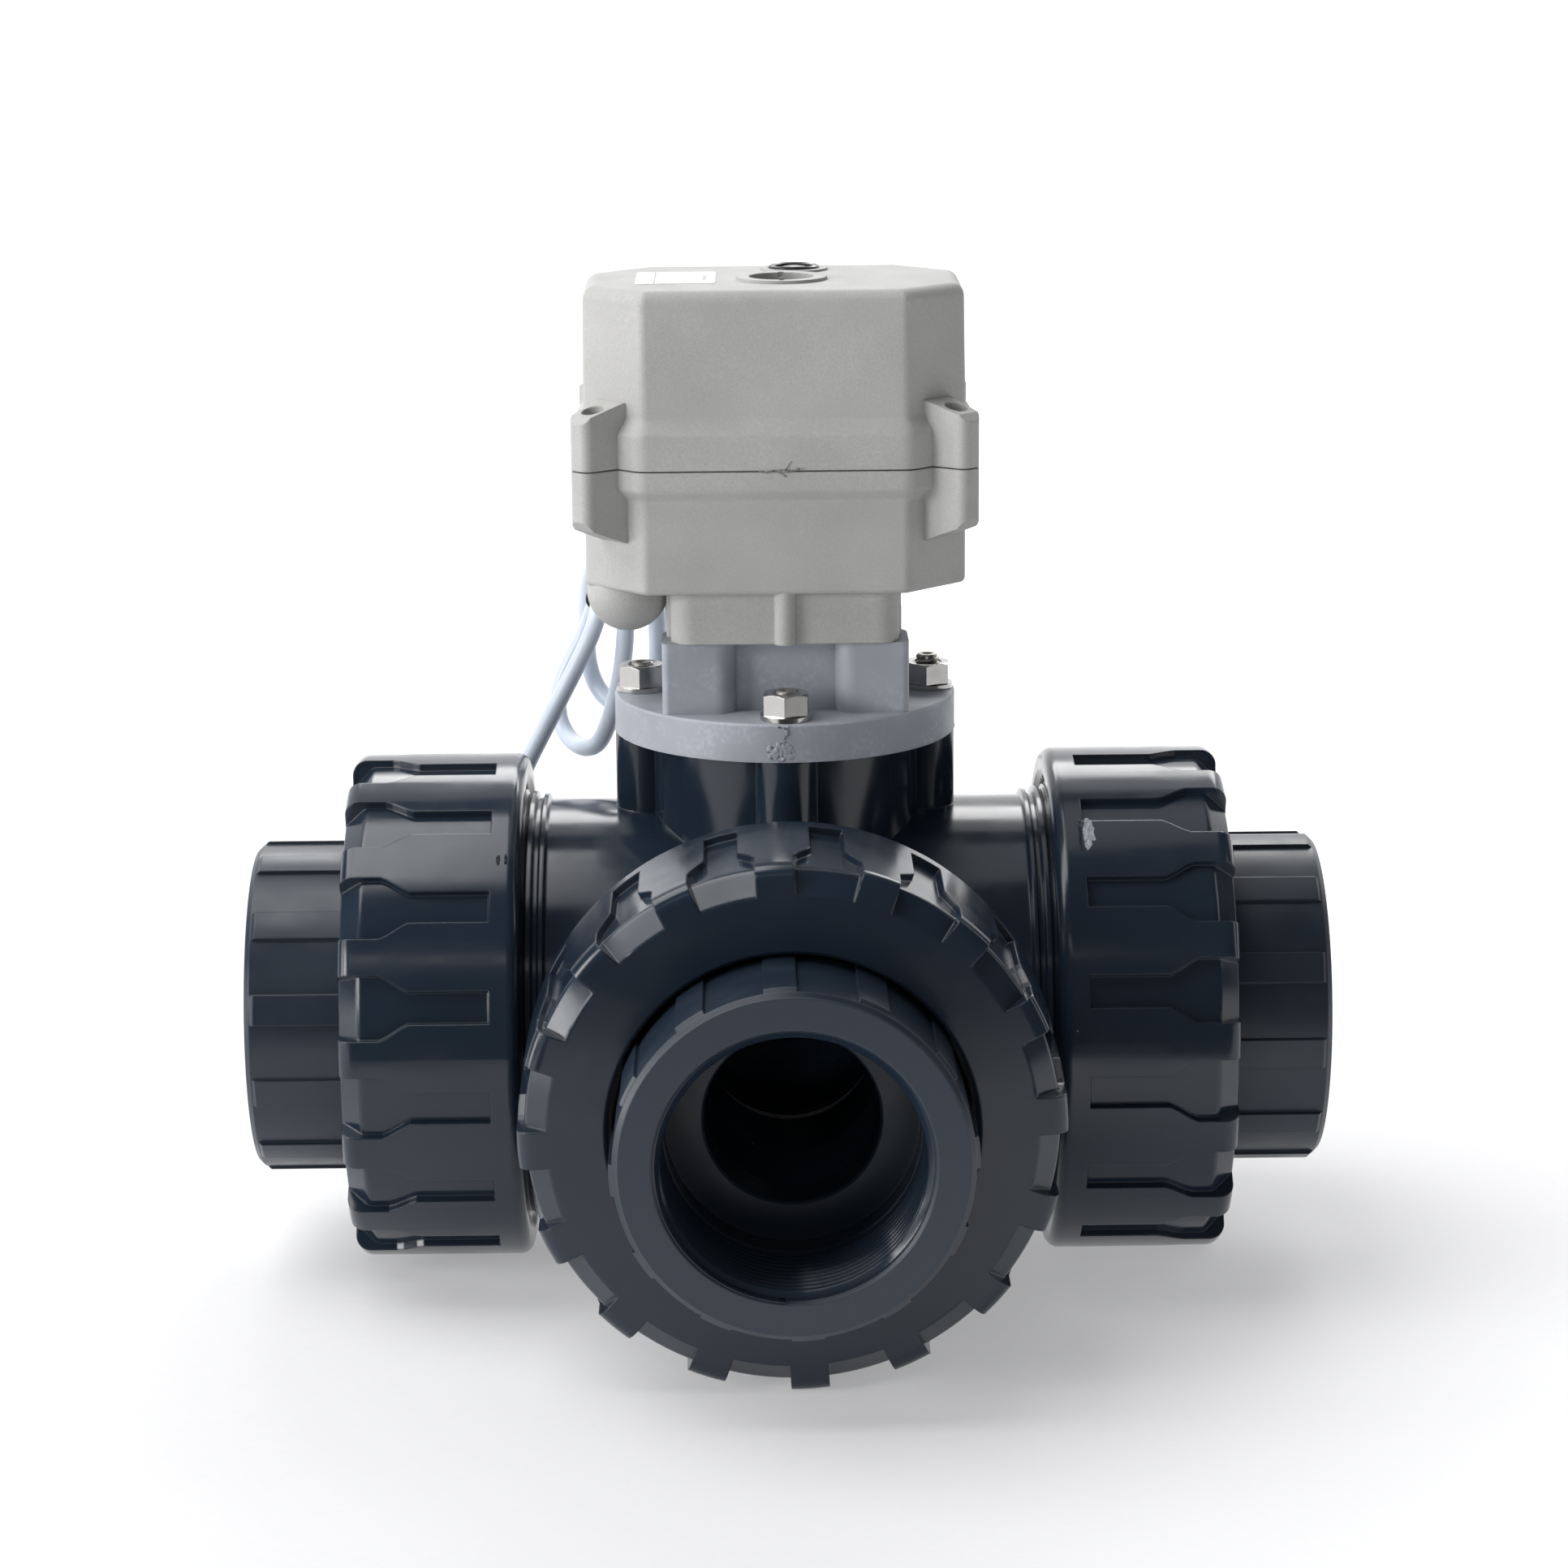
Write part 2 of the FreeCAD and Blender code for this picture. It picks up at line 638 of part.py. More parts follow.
def lug(side_outline):
    """Corner block from an outline of (distance outwards, z) points, in its own frame."""
    wide, tip = LUG_WIDTH / 2, LUG_TIP_WIDTH / 2
    corners = [V(u, -wide, z) for u, z in side_outline]
    block = Part.Face(Part.makePolygon(corners + corners[:1])).extrude(V(0, LUG_WIDTH, 0))
    plan = [(-4.0, -wide), (0, -wide), (LUG_LENGTH, -tip), (LUG_LENGTH, tip), (0, wide), (-4.0, wide)]
    block = block.common(prism(plan, HOUSING_FLOOR, COVER_TOP))
    outer = upright_edges(block, lambda x, y: x > LUG_LENGTH - 0.1)
    return block.makeFillet(2.3, outer)


def at_lugs(shape):
    """Copies of a shape drawn in a lug's own frame (X outwards, Z up)."""
    copies = []
    for middle, outward in lug_frames():
        copies.append(placed(shape, V(0, 0, 1), outward, 0.0, middle))
    return copies


def actuator_lower_housing():
    low, full = LIP_LOWER_Z
    block = straight(0, HOUSING_FLOOR, low)
    block = block.makeFillet(1.2, level_edges(block, HOUSING_FLOOR))
    block = fuse(block, swelling(low, full), straight(LIP, full, PARTING))
    lower_lug = lug([(-3.5, PARTING), (-3.5, 115.6), (0, 116.9), (LUG_LENGTH - 2, 120.4),
                     (LUG_LENGTH, 122.6), (LUG_LENGTH, PARTING)])
    neck = box(-26.3, 26.3, -29.5, 24.0, PEDESTAL_TOP, HOUSING_FLOOR + 1)
    neck = neck.makeFillet(5.0, upright_edges(neck, anywhere))
    rear_neck = box(-27.4, 26.9, -20.5, 23.0, PEDESTAL_TOP, HOUSING_FLOOR + 1)
    rear_neck = rear_neck.makeFillet(1.0, upright_edges(rear_neck, anywhere))
    neck_rib = cyl(2.5, PEDESTAL_TOP, HOUSING_FLOOR + 1, 0.0, -29.3)
    bulge_x = HOUSING_X[0] + BULGE_R
    bulge = along_y(cyl(BULGE_R, BULGE_FRONT_Y, HOUSING_Y[1]), bulge_x, BULGE_Z)
    bulge_end = Part.makeSphere(BULGE_R, V(bulge_x, BULGE_FRONT_Y, BULGE_Z))
    bulge_sides = box(HOUSING_X[0], bulge_x + BULGE_R, BULGE_FRONT_Y, HOUSING_Y[1], BULGE_Z, HOUSING_FLOOR + 2)
    housing = fuse(block, *at_lugs(lower_lug), neck, rear_neck, neck_rib, bulge, bulge_end, bulge_sides)
    housing = cut(
        housing,
        prism(octagon(-WALL), HOUSING_FLOOR + 3.0, PARTING + 1),
        along_y(cyl(GLAND_THREAD_R - 0.8, -14.0, 21.0), GLAND_X, GLAND_Z),
        along_y(cyl(GLAND_THREAD_R + 0.05, 18.0, 25.0), GLAND_X, GLAND_Z),
        box(GLAND_X - 4, GLAND_X + 4, -12.0, 5.0, GLAND_Z, HOUSING_FLOOR + 4),
        prism(octagon(0.9), PARTING - 1.3, PARTING + 1).cut(prism(octagon(-0.9), PARTING - 2, PARTING + 2)),
        cyl(14.0, PEDESTAL_TOP - 1, 96.5),
        cyl(11.0, 95, HOUSING_FLOOR + 4),
    )
    housing = cut(housing, *at_lugs(cyl(1.7, 123.0, PARTING + 1, LUG_SCREW, 0.0)))
    housing = cut(housing, *around_at(cyl(2.55, PEDESTAL_TOP - 1, 104.0), 30.0, 45))
    posts = [
        tube(2.6, 1.25, HOUSING_FLOOR + 2, PLATE_Z[0], x, y).common(
            prism(octagon(-1.0), HOUSING_FLOOR, PARTING))
        for x, y in POSTS
    ]
    axle_boss = cyl(3.0, HOUSING_FLOOR + 2, GEAR_LEVEL_A[0] - 0.3, *IDLER_AXIS)
    housing = fuse(housing, *posts, axle_boss)
    return cut(housing, cyl(1.5, HOUSING_FLOOR + 1.0, 113, *IDLER_AXIS))


def actuator_upper_cover():
    high, full = LIP_UPPER_Z
    base = PARTING + JOINT_GAP
    crown = Part.makeLoft([rounded_octagon(0, high), rounded_octagon(-HOUSING_DRAFT, COVER_TOP)], True, True)
    crown = crown.makeFillet(3.0, level_edges(crown, COVER_TOP))
    block = fuse(straight(LIP, base, full), swelling(high, full), crown)
    upper_lug = lug([(-3.5, base), (LUG_LENGTH, base), (LUG_LENGTH, 144.9),
                     (LUG_LENGTH - 1.6, 146.6), (1.0, 149.0), (-3.5, 149.6)])
    ring = tube(10.5, 7.5, COVER_TOP - 1, COVER_TOP + 0.7, 0.0, INDICATOR_Y)
    plug_ring = tube(7.9, 6.0, COVER_TOP - 1, COVER_TOP + 0.5, *OVERRIDE_AXIS)
    cover = fuse(block, *at_lugs(upper_lug), ring, plug_ring)
    cover = cut(cover, prism(octagon(-WALL), PARTING - 1, COVER_TOP - WALL))
    shaft_tube = cyl(6.6, 163.0, COVER_TOP - 1.2, *OVERRIDE_AXIS)
    dial_tube = cyl(9.0, 165.5, COVER_TOP - 1, 0.0, INDICATOR_Y)
    cover = fuse(cover, shaft_tube, dial_tube)
    cover = cut(
        cover,
        cyl(7.5, 160.0, COVER_TOP + 2, 0.0, INDICATOR_Y),
        cyl(3.05, 160.0, 172.0, *OVERRIDE_AXIS),
        cyl(4.5, 169.0, COVER_TOP + 2, *OVERRIDE_AXIS),
        cyl(6.0, COVER_TOP - 0.8, COVER_TOP + 2, *OVERRIDE_AXIS),
        box(-0.6, 0.6, INDICATOR_Y - 9.0, INDICATOR_Y + 9.0, COVER_TOP - 0.4, COVER_TOP + 2),
    )
    head_wells = at_lugs(cyl(2.6, 139.0, 152.0, LUG_SCREW, 0.0))
    shank_holes = at_lugs(cyl(2.15, PARTING, 140.0, LUG_SCREW, 0.0))
    return cut(cover, *head_wells, *shank_holes)


def cover_gasket():
    """Cord in the groove of the lower housing, with a flat skirt between the two halves."""
    cord = prism(octagon(0.8), PARTING - 1.25, PARTING)
    skirt = prism(octagon(1.7), PARTING, PARTING + JOINT_GAP)
    return cord.fuse(skirt).cut(prism(octagon(-0.8), PARTING - 2, PARTING + 1))


def cover_screws():
    screw = turned([
        (0, 141.0), (1.1, 141.0), (1.1, 142.4), (2.2, 142.4), (2.45, 142.0), (2.45, 139.05),
        (1.65, 139.05), (1.65, 123.6), (1.2, 123.1), (0, 123.1),
    ])
    screw.translate(V(LUG_SCREW, 0, 0))
    return Part.makeCompound(at_lugs(screw))


def nameplate_label():
    corners = ((-32.5, -15.0), (-16.2, -15.0), (-16.2, 7.0), (-32.5, 7.0))
    plate = box(-33.5, -15.2, -15.0, 7.0, COVER_TOP, COVER_TOP + 0.15)
    middle = box(-32.5, -16.2, -16.0, 8.0, COVER_TOP, COVER_TOP + 0.15)
    return fuse(plate, middle, *[cyl(1.0, COVER_TOP, COVER_TOP + 0.15, x, y) for x, y in corners])


# ---------------------------------------------------------------- drive train
OUTPUT_PHASE = 0.0
IDLER_PINION_PHASE = meshing_phase(OUTPUT_TEETH, OUTPUT_PHASE, IDLER_PINION_TEETH, IDLER_ANGLE)
IDLER_WHEEL_PHASE = 0.0
MOTOR_PHASE = meshing_phase(IDLER_WHEEL_TEETH, IDLER_WHEEL_PHASE, MOTOR_TEETH, MOTOR_ANGLE)
OVERRIDE_PHASE = meshing_phase(OVERRIDE_WHEEL_TEETH, 0.0, OVERRIDE_TEETH, OVERRIDE_ANGLE)
INDICATOR_PHASE = meshing_phase(INDICATOR_TEETH, 0.0, INDICATOR_TEETH, -90.0)


def output_shaft():
    """Stepped shaft from the coupling up to the small gear that turns the dial."""
    shaft = turned([
        (0, 95.6), (8.0, 95.6), (8.0, 111.4), (6.0, 111.4), (6.0, 119.0), (5.0, 119.0), (5.0, 127.4),
        (4.0, 127.4), (4.0, 147.0), (2.6, 147.0), (2.6, 150.0), (0, 150.0),
    ])
    top = gear(INDICATOR_TEETH, INDICATOR_MODULE, *INDICATOR_LEVEL, 0.0, 0.12)
    return fuse(shaft, square(STEM_SQUARE, 86.6, 96.0), top)


def output_bush():
    return tube(10.95, 8.0 + RUNNING, 96.6, 108.2)


def output_gear():
    wheel = gear(OUTPUT_TEETH, OUTPUT_MODULE, *GEAR_LEVEL_A, OUTPUT_PHASE)
    pockets = [cyl(3.2, 111, 119, 12.4, 0.0)]
    wheel = cut(wheel, cyl(6.02, 111, 119), *around(pockets[0], 6, 30.0))
    return wheel


def override_wheel():
    wheel = gear(OVERRIDE_WHEEL_TEETH, FINE_MODULE, *OVERRIDE_LEVEL, 0.0)
    return wheel.cut(cyl(4.02, 127, 133))


def idler_gear():
    """Large wheel and small pinion in one piece."""
    x, y = IDLER_AXIS
    pinion = gear(IDLER_PINION_TEETH, OUTPUT_MODULE, *GEAR_LEVEL_A, IDLER_PINION_PHASE)
    wheel = gear(IDLER_WHEEL_TEETH, FINE_MODULE, *GEAR_LEVEL_B, IDLER_WHEEL_PHASE)
    hub = cyl(4.6, GEAR_LEVEL_A[1] - 0.5, GEAR_LEVEL_B[0] + 0.5)
    solid = fuse(pinion, wheel, hub).cut(cyl(1.5 + RUNNING, 110, 125))
    return solid.translated(V(x, y, 0))


def idler_axle():
    return cyl(1.5, HOUSING_FLOOR + 1.0, PLATE_Z[1], *IDLER_AXIS)


def motor_pinion():
    """Pinion on the motor's own shaft."""
    x, y = MOTOR_AXIS
    wheel = gear(MOTOR_TEETH, FINE_MODULE, *GEAR_LEVEL_B, MOTOR_PHASE)
    shaft = cyl(1.5, GEAR_LEVEL_B[0], 133.0)
    return fuse(wheel, shaft).translated(V(x, y, 0))


def gear_motor():
    """Round synchronous gear motor with two fixing ears and a terminal block."""
    x, y = MOTOR_AXIS
    can = turned([
        (0, PLATE_Z[1]), (12.8, PLATE_Z[1]), (12.8, 145.0),
        ("arc", rounding(11.8, 145.0, 1.0, 45), (11.8, 146.0)), (5.0, 146.0), (5.0, 147.5), (0, 147.5),
    ])
    ears = box(-3.5, 3.5, -2.0, 15.5, PLATE_Z[1], PLATE_Z[1] + 1.0)
    ears = ears.cut(cyl(1.3, 120, 130, 0, 13.9))
    terminals = box(-4.0, 4.0, 9.0, 14.2, 136.0, 143.0)
    motor = fuse(can, ears, terminals)
    motor = motor.cut(cyl(1.5 + RUNNING, 120, 133.2))
    return motor.translated(V(x, y, 0))


def gear_plate():
    plate = prism(octagon(-WALL - 1.0), *PLATE_Z)
    plate = cut(
        plate,
        box(-50, -39.6, -9, 9, 120, 130),
        cyl(5.0 + RUNNING, 120, 130),
        cyl(5.4, 120, 130, *MOTOR_AXIS),
        cyl(1.5, 120, 130, *IDLER_AXIS),
        cyl(2.0 + RUNNING, 120, 130, *OVERRIDE_AXIS),
    )
    return cut(plate, *[cyl(1.25, 120, 130, x, y) for x, y in POSTS])


def spacers():
    """Pillars that clamp the gear plate to its posts and carry the circuit board."""
    pillar = turned([
        (0, 114.0), (1.2, 114.0), (1.2, PLATE_Z[1]), (2.5, PLATE_Z[1]), (2.5, BOARD_Z[0]),
        (1.2, BOARD_Z[0]), (1.2, BOARD_Z[1] + 1.6), (0, BOARD_Z[1] + 1.6),
    ])
    return Part.makeCompound([pillar.translated(V(x, y, 0)) for x, y in POSTS])


def board_nuts():
    nut = hexagon(4.6, BOARD_Z[1], BOARD_Z[1] + 1.6).cut(cyl(1.2, 150, 170))
    return Part.makeCompound([nut.translated(V(x, y, 0)) for x, y in POSTS])


def position_cams():
    """Two discs with a raised sector, turned a quarter turn apart."""
    cams = []
    for low, start in ((134.4, -20.0), (140.4, 70.0)):
        disc = cyl(7.4, low, low + 4.6)
        a = [math.radians(start + t) for t in (0, 20, 40)]
        sector = prism([(0, 0)] + [(14 * math.cos(t), 14 * math.sin(t)) for t in a], low, low + 4.6)
        lobe = cyl(8.6, low, low + 4.6).common(sector)
        cams.append(fuse(disc, lobe).cut(cyl(4.02, 130, 150)))
    return Part.makeCompound(cams)


def limit_switches():
    """Two snap switches, each with a lever towards its cam."""
    switches = []
    for low in (134.0, 140.2):
        body = box(13.5, 23.5, -13.0, 7.0, low, low + 6.0)
        lever = box(10.2, 10.6, -12.0, 4.0, low + 1.5, low + 4.5)
        foot = box(10.2, 14.0, -12.0, -11.0, low + 1.5, low + 4.5)
        pins = [box(23.0, 26.5, y, y + 1.0, low + 2.6, low + 3.2) for y in (-11.0, -3.5, 4.0)]
        switches.append(fuse(body, lever, foot, *pins))
    return Part.makeCompound(switches)


def switch_bracket():
    return cut(box(12.5, 24.5, -14.0, 8.0, PLATE_Z[1], 134.0), box(15.0, 22.0, -11.0, 5.0, 125, 132.0))


def circuit_board():
    board = prism(octagon(-WALL - 2.0), *BOARD_Z)
    board = cut(
        board,
        cyl(4.0, 150, 170, 0.0, INDICATOR_Y),
        cyl(4.5, 150, 170, *OVERRIDE_AXIS),
        box(-50, -38.8, -9, 9, 150, 170),
    )
    return cut(board, *[cyl(1.25, 150, 170, x, y) for x, y in POSTS])


def board_components():
    """Relay, capacitors and a screw terminal block on the circuit board."""
    top = BOARD_Z[1]
    relay = box(14.0, 27.0, -15.0, 3.0, top, top + 9.0)
    relay = relay.makeFillet(0.6, upright_edges(relay, anywhere))
    cans = [cyl(3.0, top, top + 8.5, x, 10.0) for x in (14.0, 22.0)]
    terminal = box(-34.0, -26.0, -11.0, 8.0, top, top + 8.0)
    terminal = cut(terminal, *[cyl(1.5, top + 5, top + 9, -29.0, y) for y in (-8.5, -5.0, -1.5, 2.0, 5.5)])
    return Part.makeCompound([relay, terminal] + cans)


def override_shaft():
    """Upright shaft with a pinion, turned by a hexagon key through the hole under the plug."""
    pinion = gear(OVERRIDE_TEETH, FINE_MODULE, *OVERRIDE_LEVEL, OVERRIDE_PHASE)
    shaft = turned([(0, 124.1), (2.0, 124.1), (2.0, 126.2), (3.0, 126.2), (3.0, 168.4), (0, 168.4)])
    solid = fuse(shaft, pinion).cut(hexagon(3.0, 162.0, 169.0))
    return solid.translated(V(*OVERRIDE_AXIS, 0))


def override_plug():
    """Rubber plug with a raised rim and a domed middle."""
    rim = COVER_TOP + 0.3
    dome_r, dome_height = 3.9, 0.75
    sphere_r = (dome_r ** 2 + dome_height ** 2) / (2 * dome_height)
    plug = turned([
        (0, 169.5), (4.1, 169.5), (4.4, 170.2), (4.4, COVER_TOP - 0.7), (5.85, COVER_TOP - 0.7),
        (5.85, COVER_TOP + 0.9), (5.3, COVER_TOP + 1.2), (4.6, COVER_TOP + 0.9), (4.6, rim), (0, rim),
    ])
    ball = Part.makeSphere(sphere_r, V(0, 0, rim + dome_height - sphere_r))
    dome = ball.common(cyl(dome_r + 0.5, rim - 0.2, rim + 2))
    return fuse(plug, dome).translated(V(*OVERRIDE_AXIS, 0))


def position_indicator():
    """Dial with an arrow groove, on a spindle with a small gear."""
    dial = turned([
        (0, 145.8), (1.5, 145.8), (1.5, 149.8), (2.0, 149.8), (2.0, 166.0), (7.2, 166.0), (7.2, 168.1),
        (5.6, 168.1), (5.6, 169.9), (7.2, 169.9), (7.2, 172.6), (6.6, 173.0), (0, 173.0),
    ])
    wheel = gear(INDICATOR_TEETH, INDICATOR_MODULE, *INDICATOR_LEVEL, INDICATOR_PHASE, 0.12)
    dial = fuse(dial, wheel).cut(box(-0.7, 0.7, -6.2, 6.2, 172.2, 174.0))
    return dial.translated(V(0, INDICATOR_Y, 0))


def indicator_seal():
    return torus(6.52, 0.8, 169.0).translated(V(0, INDICATOR_Y, 0))


# ---------------------------------------------------------------- cable entry and cable
def gland_body():
    """Threaded stub through the rear of the cable boss, with a hexagon collar."""
    stub = fuse(
        cyl(GLAND_THREAD_R, 18.5, 25.0),
        hexagon(GLAND_FLATS, HOUSING_Y[1] + 0.05, 28.5, start=30.0),
        cyl(GLAND_THREAD_R - 0.2, 28.0, 37.0),
    )
    return along_y(stub.cut(cyl(CABLE_R + 0.6, 17, 29)).cut(cyl(4.4, 28.9, 38)), GLAND_X, GLAND_Z)


def gland_seal():
    return along_y(tube(4.35, CABLE_R + 0.02, 29.0, 38.4), GLAND_X, GLAND_Z)


def gland_nut():
    """Hexagon nut with a domed end around the cable."""
    nut = hexagon(GLAND_FLATS, 28.8, 36.0, start=30.0)
    dome = turned([
        (0, 35.0), (7.7, 35.0), (7.7, 37.0),
        ("arc", (6.9, 40.6), (4.7, GLAND_EXIT_Y)), (0, GLAND_EXIT_Y),
    ])
    nut = fuse(nut, dome)
    bore = turned([
        (0, 27), (GLAND_THREAD_R, 27), (GLAND_THREAD_R, 37.2), (4.6, 38.6), (CABLE_R + 0.1, 38.6),
        (CABLE_R + 0.1, 44), (0, 44),
    ])
    return along_y(nut.cut(bore), GLAND_X, GLAND_Z)


def cable_inner_end():
    """The stretch of cable inside the gland, stripped to its cores inside the boss."""
    jacket = cyl(CABLE_R, 8.0, GLAND_EXIT_Y)
    cores = []
    for i in range(5):
        x, y = polar(0, 0, 1.35, 72 * i)
        cores.append(cyl(0.62, -8.0, 8.5, x, y))
    return along_y(fuse(jacket, *cores), GLAND_X, GLAND_Z)


# Route of the free cable: out of the gland, down in two loops, then behind the left union
# to the surface that the valve stands on, and into the coil.
CABLE_ROUTE = [
    (-37.3, 43.0, 104.5),
    (-37.3, 54.0, 104.5),
    (-35.9, 61.2, 101.3),
    (-33.4, 64.4, 94.4),
    (-31.6, 64.2, 86.0),
    (-31.2, 62.6, 75.0),
    (-31.6, 62.0, 65.4),
    (-34.8, 64.7, 59.0),
    (-40.4, 69.0, 57.0),
    (-46.0, 73.3, 59.6),
    (-49.4, 76.0, 66.3),
    (-49.8, 76.8, 77.0),
    (-49.2, 76.0, 87.4),
    (-47.1, 71.2, 94.8),
    (-43.9, 63.5, 97.7),
    (-40.7, 55.8, 94.7),
    (-38.7, 51.0, 87.4),
    (-39.2, 50.6, 76.0),
    (-41.0, 51.0, 66.0),
    (-43.8, 52.0, 56.4),
    (-46.5, 55.1, 50.7),
    (-50.5, 60.0, 48.7),
    (-54.6, 64.9, 50.6),
    (-57.3, 68.2, 56.2),
    (-56.4, 69.4, 63.8),
    (-53.0, 70.0, 70.8),
    (-49.4, 70.0, 77.4),
    (-47.2, 67.2, 84.0),
    (-46.2, 61.0, 88.0),
    (-45.4, 54.0, 87.6),
    (-46.4, 48.8, 82.6),
    (-50.2, 47.6, 74.6),
    (-57.6, 48.8, 60.2),
    (-66.6, 52.2, 42.5),
    (-73.0, 58.0, 24.0),
    (-76.4, 64.5, 3.0),
    (-77.4, 69.0, -17.0),
    (-75.6, 74.0, -34.0),
    (-70.6, 81.2, -46.6),
    (-62.5, 91.0, -52.8),
]
COIL_CENTRE = (-41.2, 74.0)
COIL_R = 25.0              # middle of the turns
COIL_BOTTOM = FLOOR_Z + 0.7
COIL_SIDE = 4.6            # half the width, and half the height, of the wound turns
CABLE_END_ANGLE = 60.0     # where the jacket ends, about the middle of the coil
CORE_R = 0.6
CORE_LENGTH = 26.0


def free_cable():
    """Tube along the route: straight runs joined by arcs. Prints each arc's radius."""
    points = [V(*p) for p in CABLE_ROUTE]
    edges = []
    radii = []
    at = points[0]
    for before, corner, after in zip(points, points[1:], points[2:]):
        back = before - corner
        ahead = after - corner
        half_turn = (math.pi - back.getAngle(ahead)) / 2
        reach = 0.45 * min(back.Length, ahead.Length)
        radii.append(reach / math.tan(half_turn))
        start = corner + V(back).normalize() * reach
        end = corner + V(ahead).normalize() * reach
        bisector = (V(back).normalize() + V(ahead).normalize()).normalize()
        centre = corner + bisector * (radii[-1] / math.cos(half_turn))
        middle = centre - bisector * radii[-1]
        edges.append(Part.LineSegment(at, start).toShape())
        edges.append(Part.Arc(start, middle, end).toShape())
        at = end
    edges.append(Part.LineSegment(at, points[-1]).toShape())
    path = Part.Wire(edges)
    ring = Part.Wire([Part.makeCircle(CABLE_R, points[0], points[1] - points[0])])
    tube_solid = path.makePipeShell([ring], True, False)
    expected = math.pi * CABLE_R ** 2 * path.Length
    print("cable arcs, mm:", " ".join(f"{r:.1f}" for r in radii))
    print(f"cable tube: length {path.Length:.1f}, volume {tube_solid.Volume:.0f} of {expected:.0f}")
    return tube_solid


def cable_coil():
    """Outer shape of the coil that holds the rest of the cable."""
    x, y = COIL_CENTRE
    return tube(COIL_R + COIL_SIDE, COIL_R - COIL_SIDE, COIL_BOTTOM, COIL_BOTTOM + 2 * COIL_SIDE, x, y)


def strap(width, height, depth, thickness):
    """Closed band about the Y axis, with its locking head on top."""
    band = box(-width / 2 - thickness, width / 2 + thickness, -depth / 2, depth / 2,
               -thickness, height + thickness)
    band = band.cut(box(-width / 2, width / 2, -depth, depth, 0, height))
    head = box(-1.8, 1.8, -depth / 2 - 0.5, depth / 2 + 0.5, height + 0.1, height + 2.6)
    return fuse(band, head)


def coil_tie():
    x, y = COIL_CENTRE
    band = strap(2 * COIL_SIDE + 0.2, 2 * COIL_SIDE + 0.1, 2.5, 0.6)
    return band.translated(V(x + COIL_R, y, COIL_BOTTOM - 0.05))


def loop_tie():
    """Strap around the two strands at the top of the hanging loops."""
    band = strap(9.9, 14.6, 2.5, 0.7)
    return band.translated(V(-44.2, 60.3, 84.7))


def cable_cores():
    """Stripped ends of the cable's cores, where the jacket ends at the side of the coil."""
    x, y = polar(*COIL_CENTRE, COIL_R + COIL_SIDE / 2, CABLE_END_ANGLE)
    a = math.radians(CABLE_END_ANGLE)
    ahead = V(math.sin(a), -math.cos(a), 0)
    side = V(math.cos(a), math.sin(a), 0)
    cores = []
    for i in range(5):
        across, up = polar(0, 0, 1.35, 90 + 72 * i)
        start = V(x, y, COIL_BOTTOM + CABLE_R + 0.1) + side * across + V(0, 0, up)
        spread = ahead + side * (0.02 * across) + V(0, 0, 0.02 * up)
        cores.append(Part.makeCylinder(CORE_R, CORE_LENGTH, start, spread))
    return Part.makeCompound(cores)


# ---------------------------------------------------------------- export
def all_parts():
    parts = {
        "valve_body": valve_body(),
        "diverter_ball": diverter_ball(),
        "valve_stem": valve_stem(),
        "stem_seals": stem_seals(),
        "thrust_washer": thrust_washer(),
        "bonnet_flange": bonnet_flange(),
        "bonnet_seal": bonnet_seal(),
        "bonnet_studs": bonnet_studs(),
        "bonnet_washers": bonnet_washers(),
        "bonnet_nuts": bonnet_nuts(),
        "mounting_screws": mounting_screws(),
        "drive_coupling": drive_coupling(),
        "actuator_lower_housing": actuator_lower_housing(),
        "actuator_upper_cover": actuator_upper_cover(),
        "cover_gasket": cover_gasket(),
        "cover_screws": cover_screws(),
        "nameplate_label": nameplate_label(),
        "output_shaft": output_shaft(),
        "output_bush": output_bush(),
        "output_gear": output_gear(),
        "override_wheel": override_wheel(),
        "idler_gear": idler_gear(),
        "idler_axle": idler_axle(),
        "motor_pinion": motor_pinion(),
        "gear_motor": gear_motor(),
        "gear_plate": gear_plate(),
        "spacers": spacers(),
        "board_nuts": board_nuts(),
        "position_cams": position_cams(),
        "limit_switches": limit_switches(),
        "switch_bracket": switch_bracket(),
        "circuit_board": circuit_board(),
        "board_components": board_components(),
        "override_shaft": override_shaft(),
        "override_plug": override_plug(),
        "position_indicator": position_indicator(),
        "indicator_seal": indicator_seal(),
        "gland_body": gland_body(),
        "gland_seal": gland_seal(),
        "gland_nut": gland_nut(),
        "cable_inner_end": cable_inner_end(),
        "power_cable": free_cable(),
        "cable_coil": cable_coil(),
        "coil_tie": coil_tie(),
        "loop_tie": loop_tie(),
        "cable_cores": cable_cores(),
    }
    nut = union_nut()
    connector = union_connector()
    for name, (_, _, connector_phase, nut_phase) in PORTS.items():
        parts[f"union_nut_{name}"] = along_port(nut, name, nut_phase)
        parts[f"union_connector_{name}"] = along_port(connector, name, connector_phase)
    parts["ball_seats"] = at_ports(ball_seat(), along_y(ball_seat(), 0, 0))
    parts["seat_carriers"] = at_ports(seat_carrier())
    parts["carrier_seals"] = at_ports(torus(33.55, 1.3, 46.6))
    parts["union_seals"] = at_ports(torus(43.0, 1.4, BODY_END - 1.45))
    return parts


os.makedirs("parts", exist_ok=True)
for node, shape in all_parts().items():
    shape.translate(OFFSET)
    shape.exportStep(f"parts/{node}.step")
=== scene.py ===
import json
import math
import random

import bpy
from mathutils import Matrix, Vector
from mathutils.noise import noise as perlin


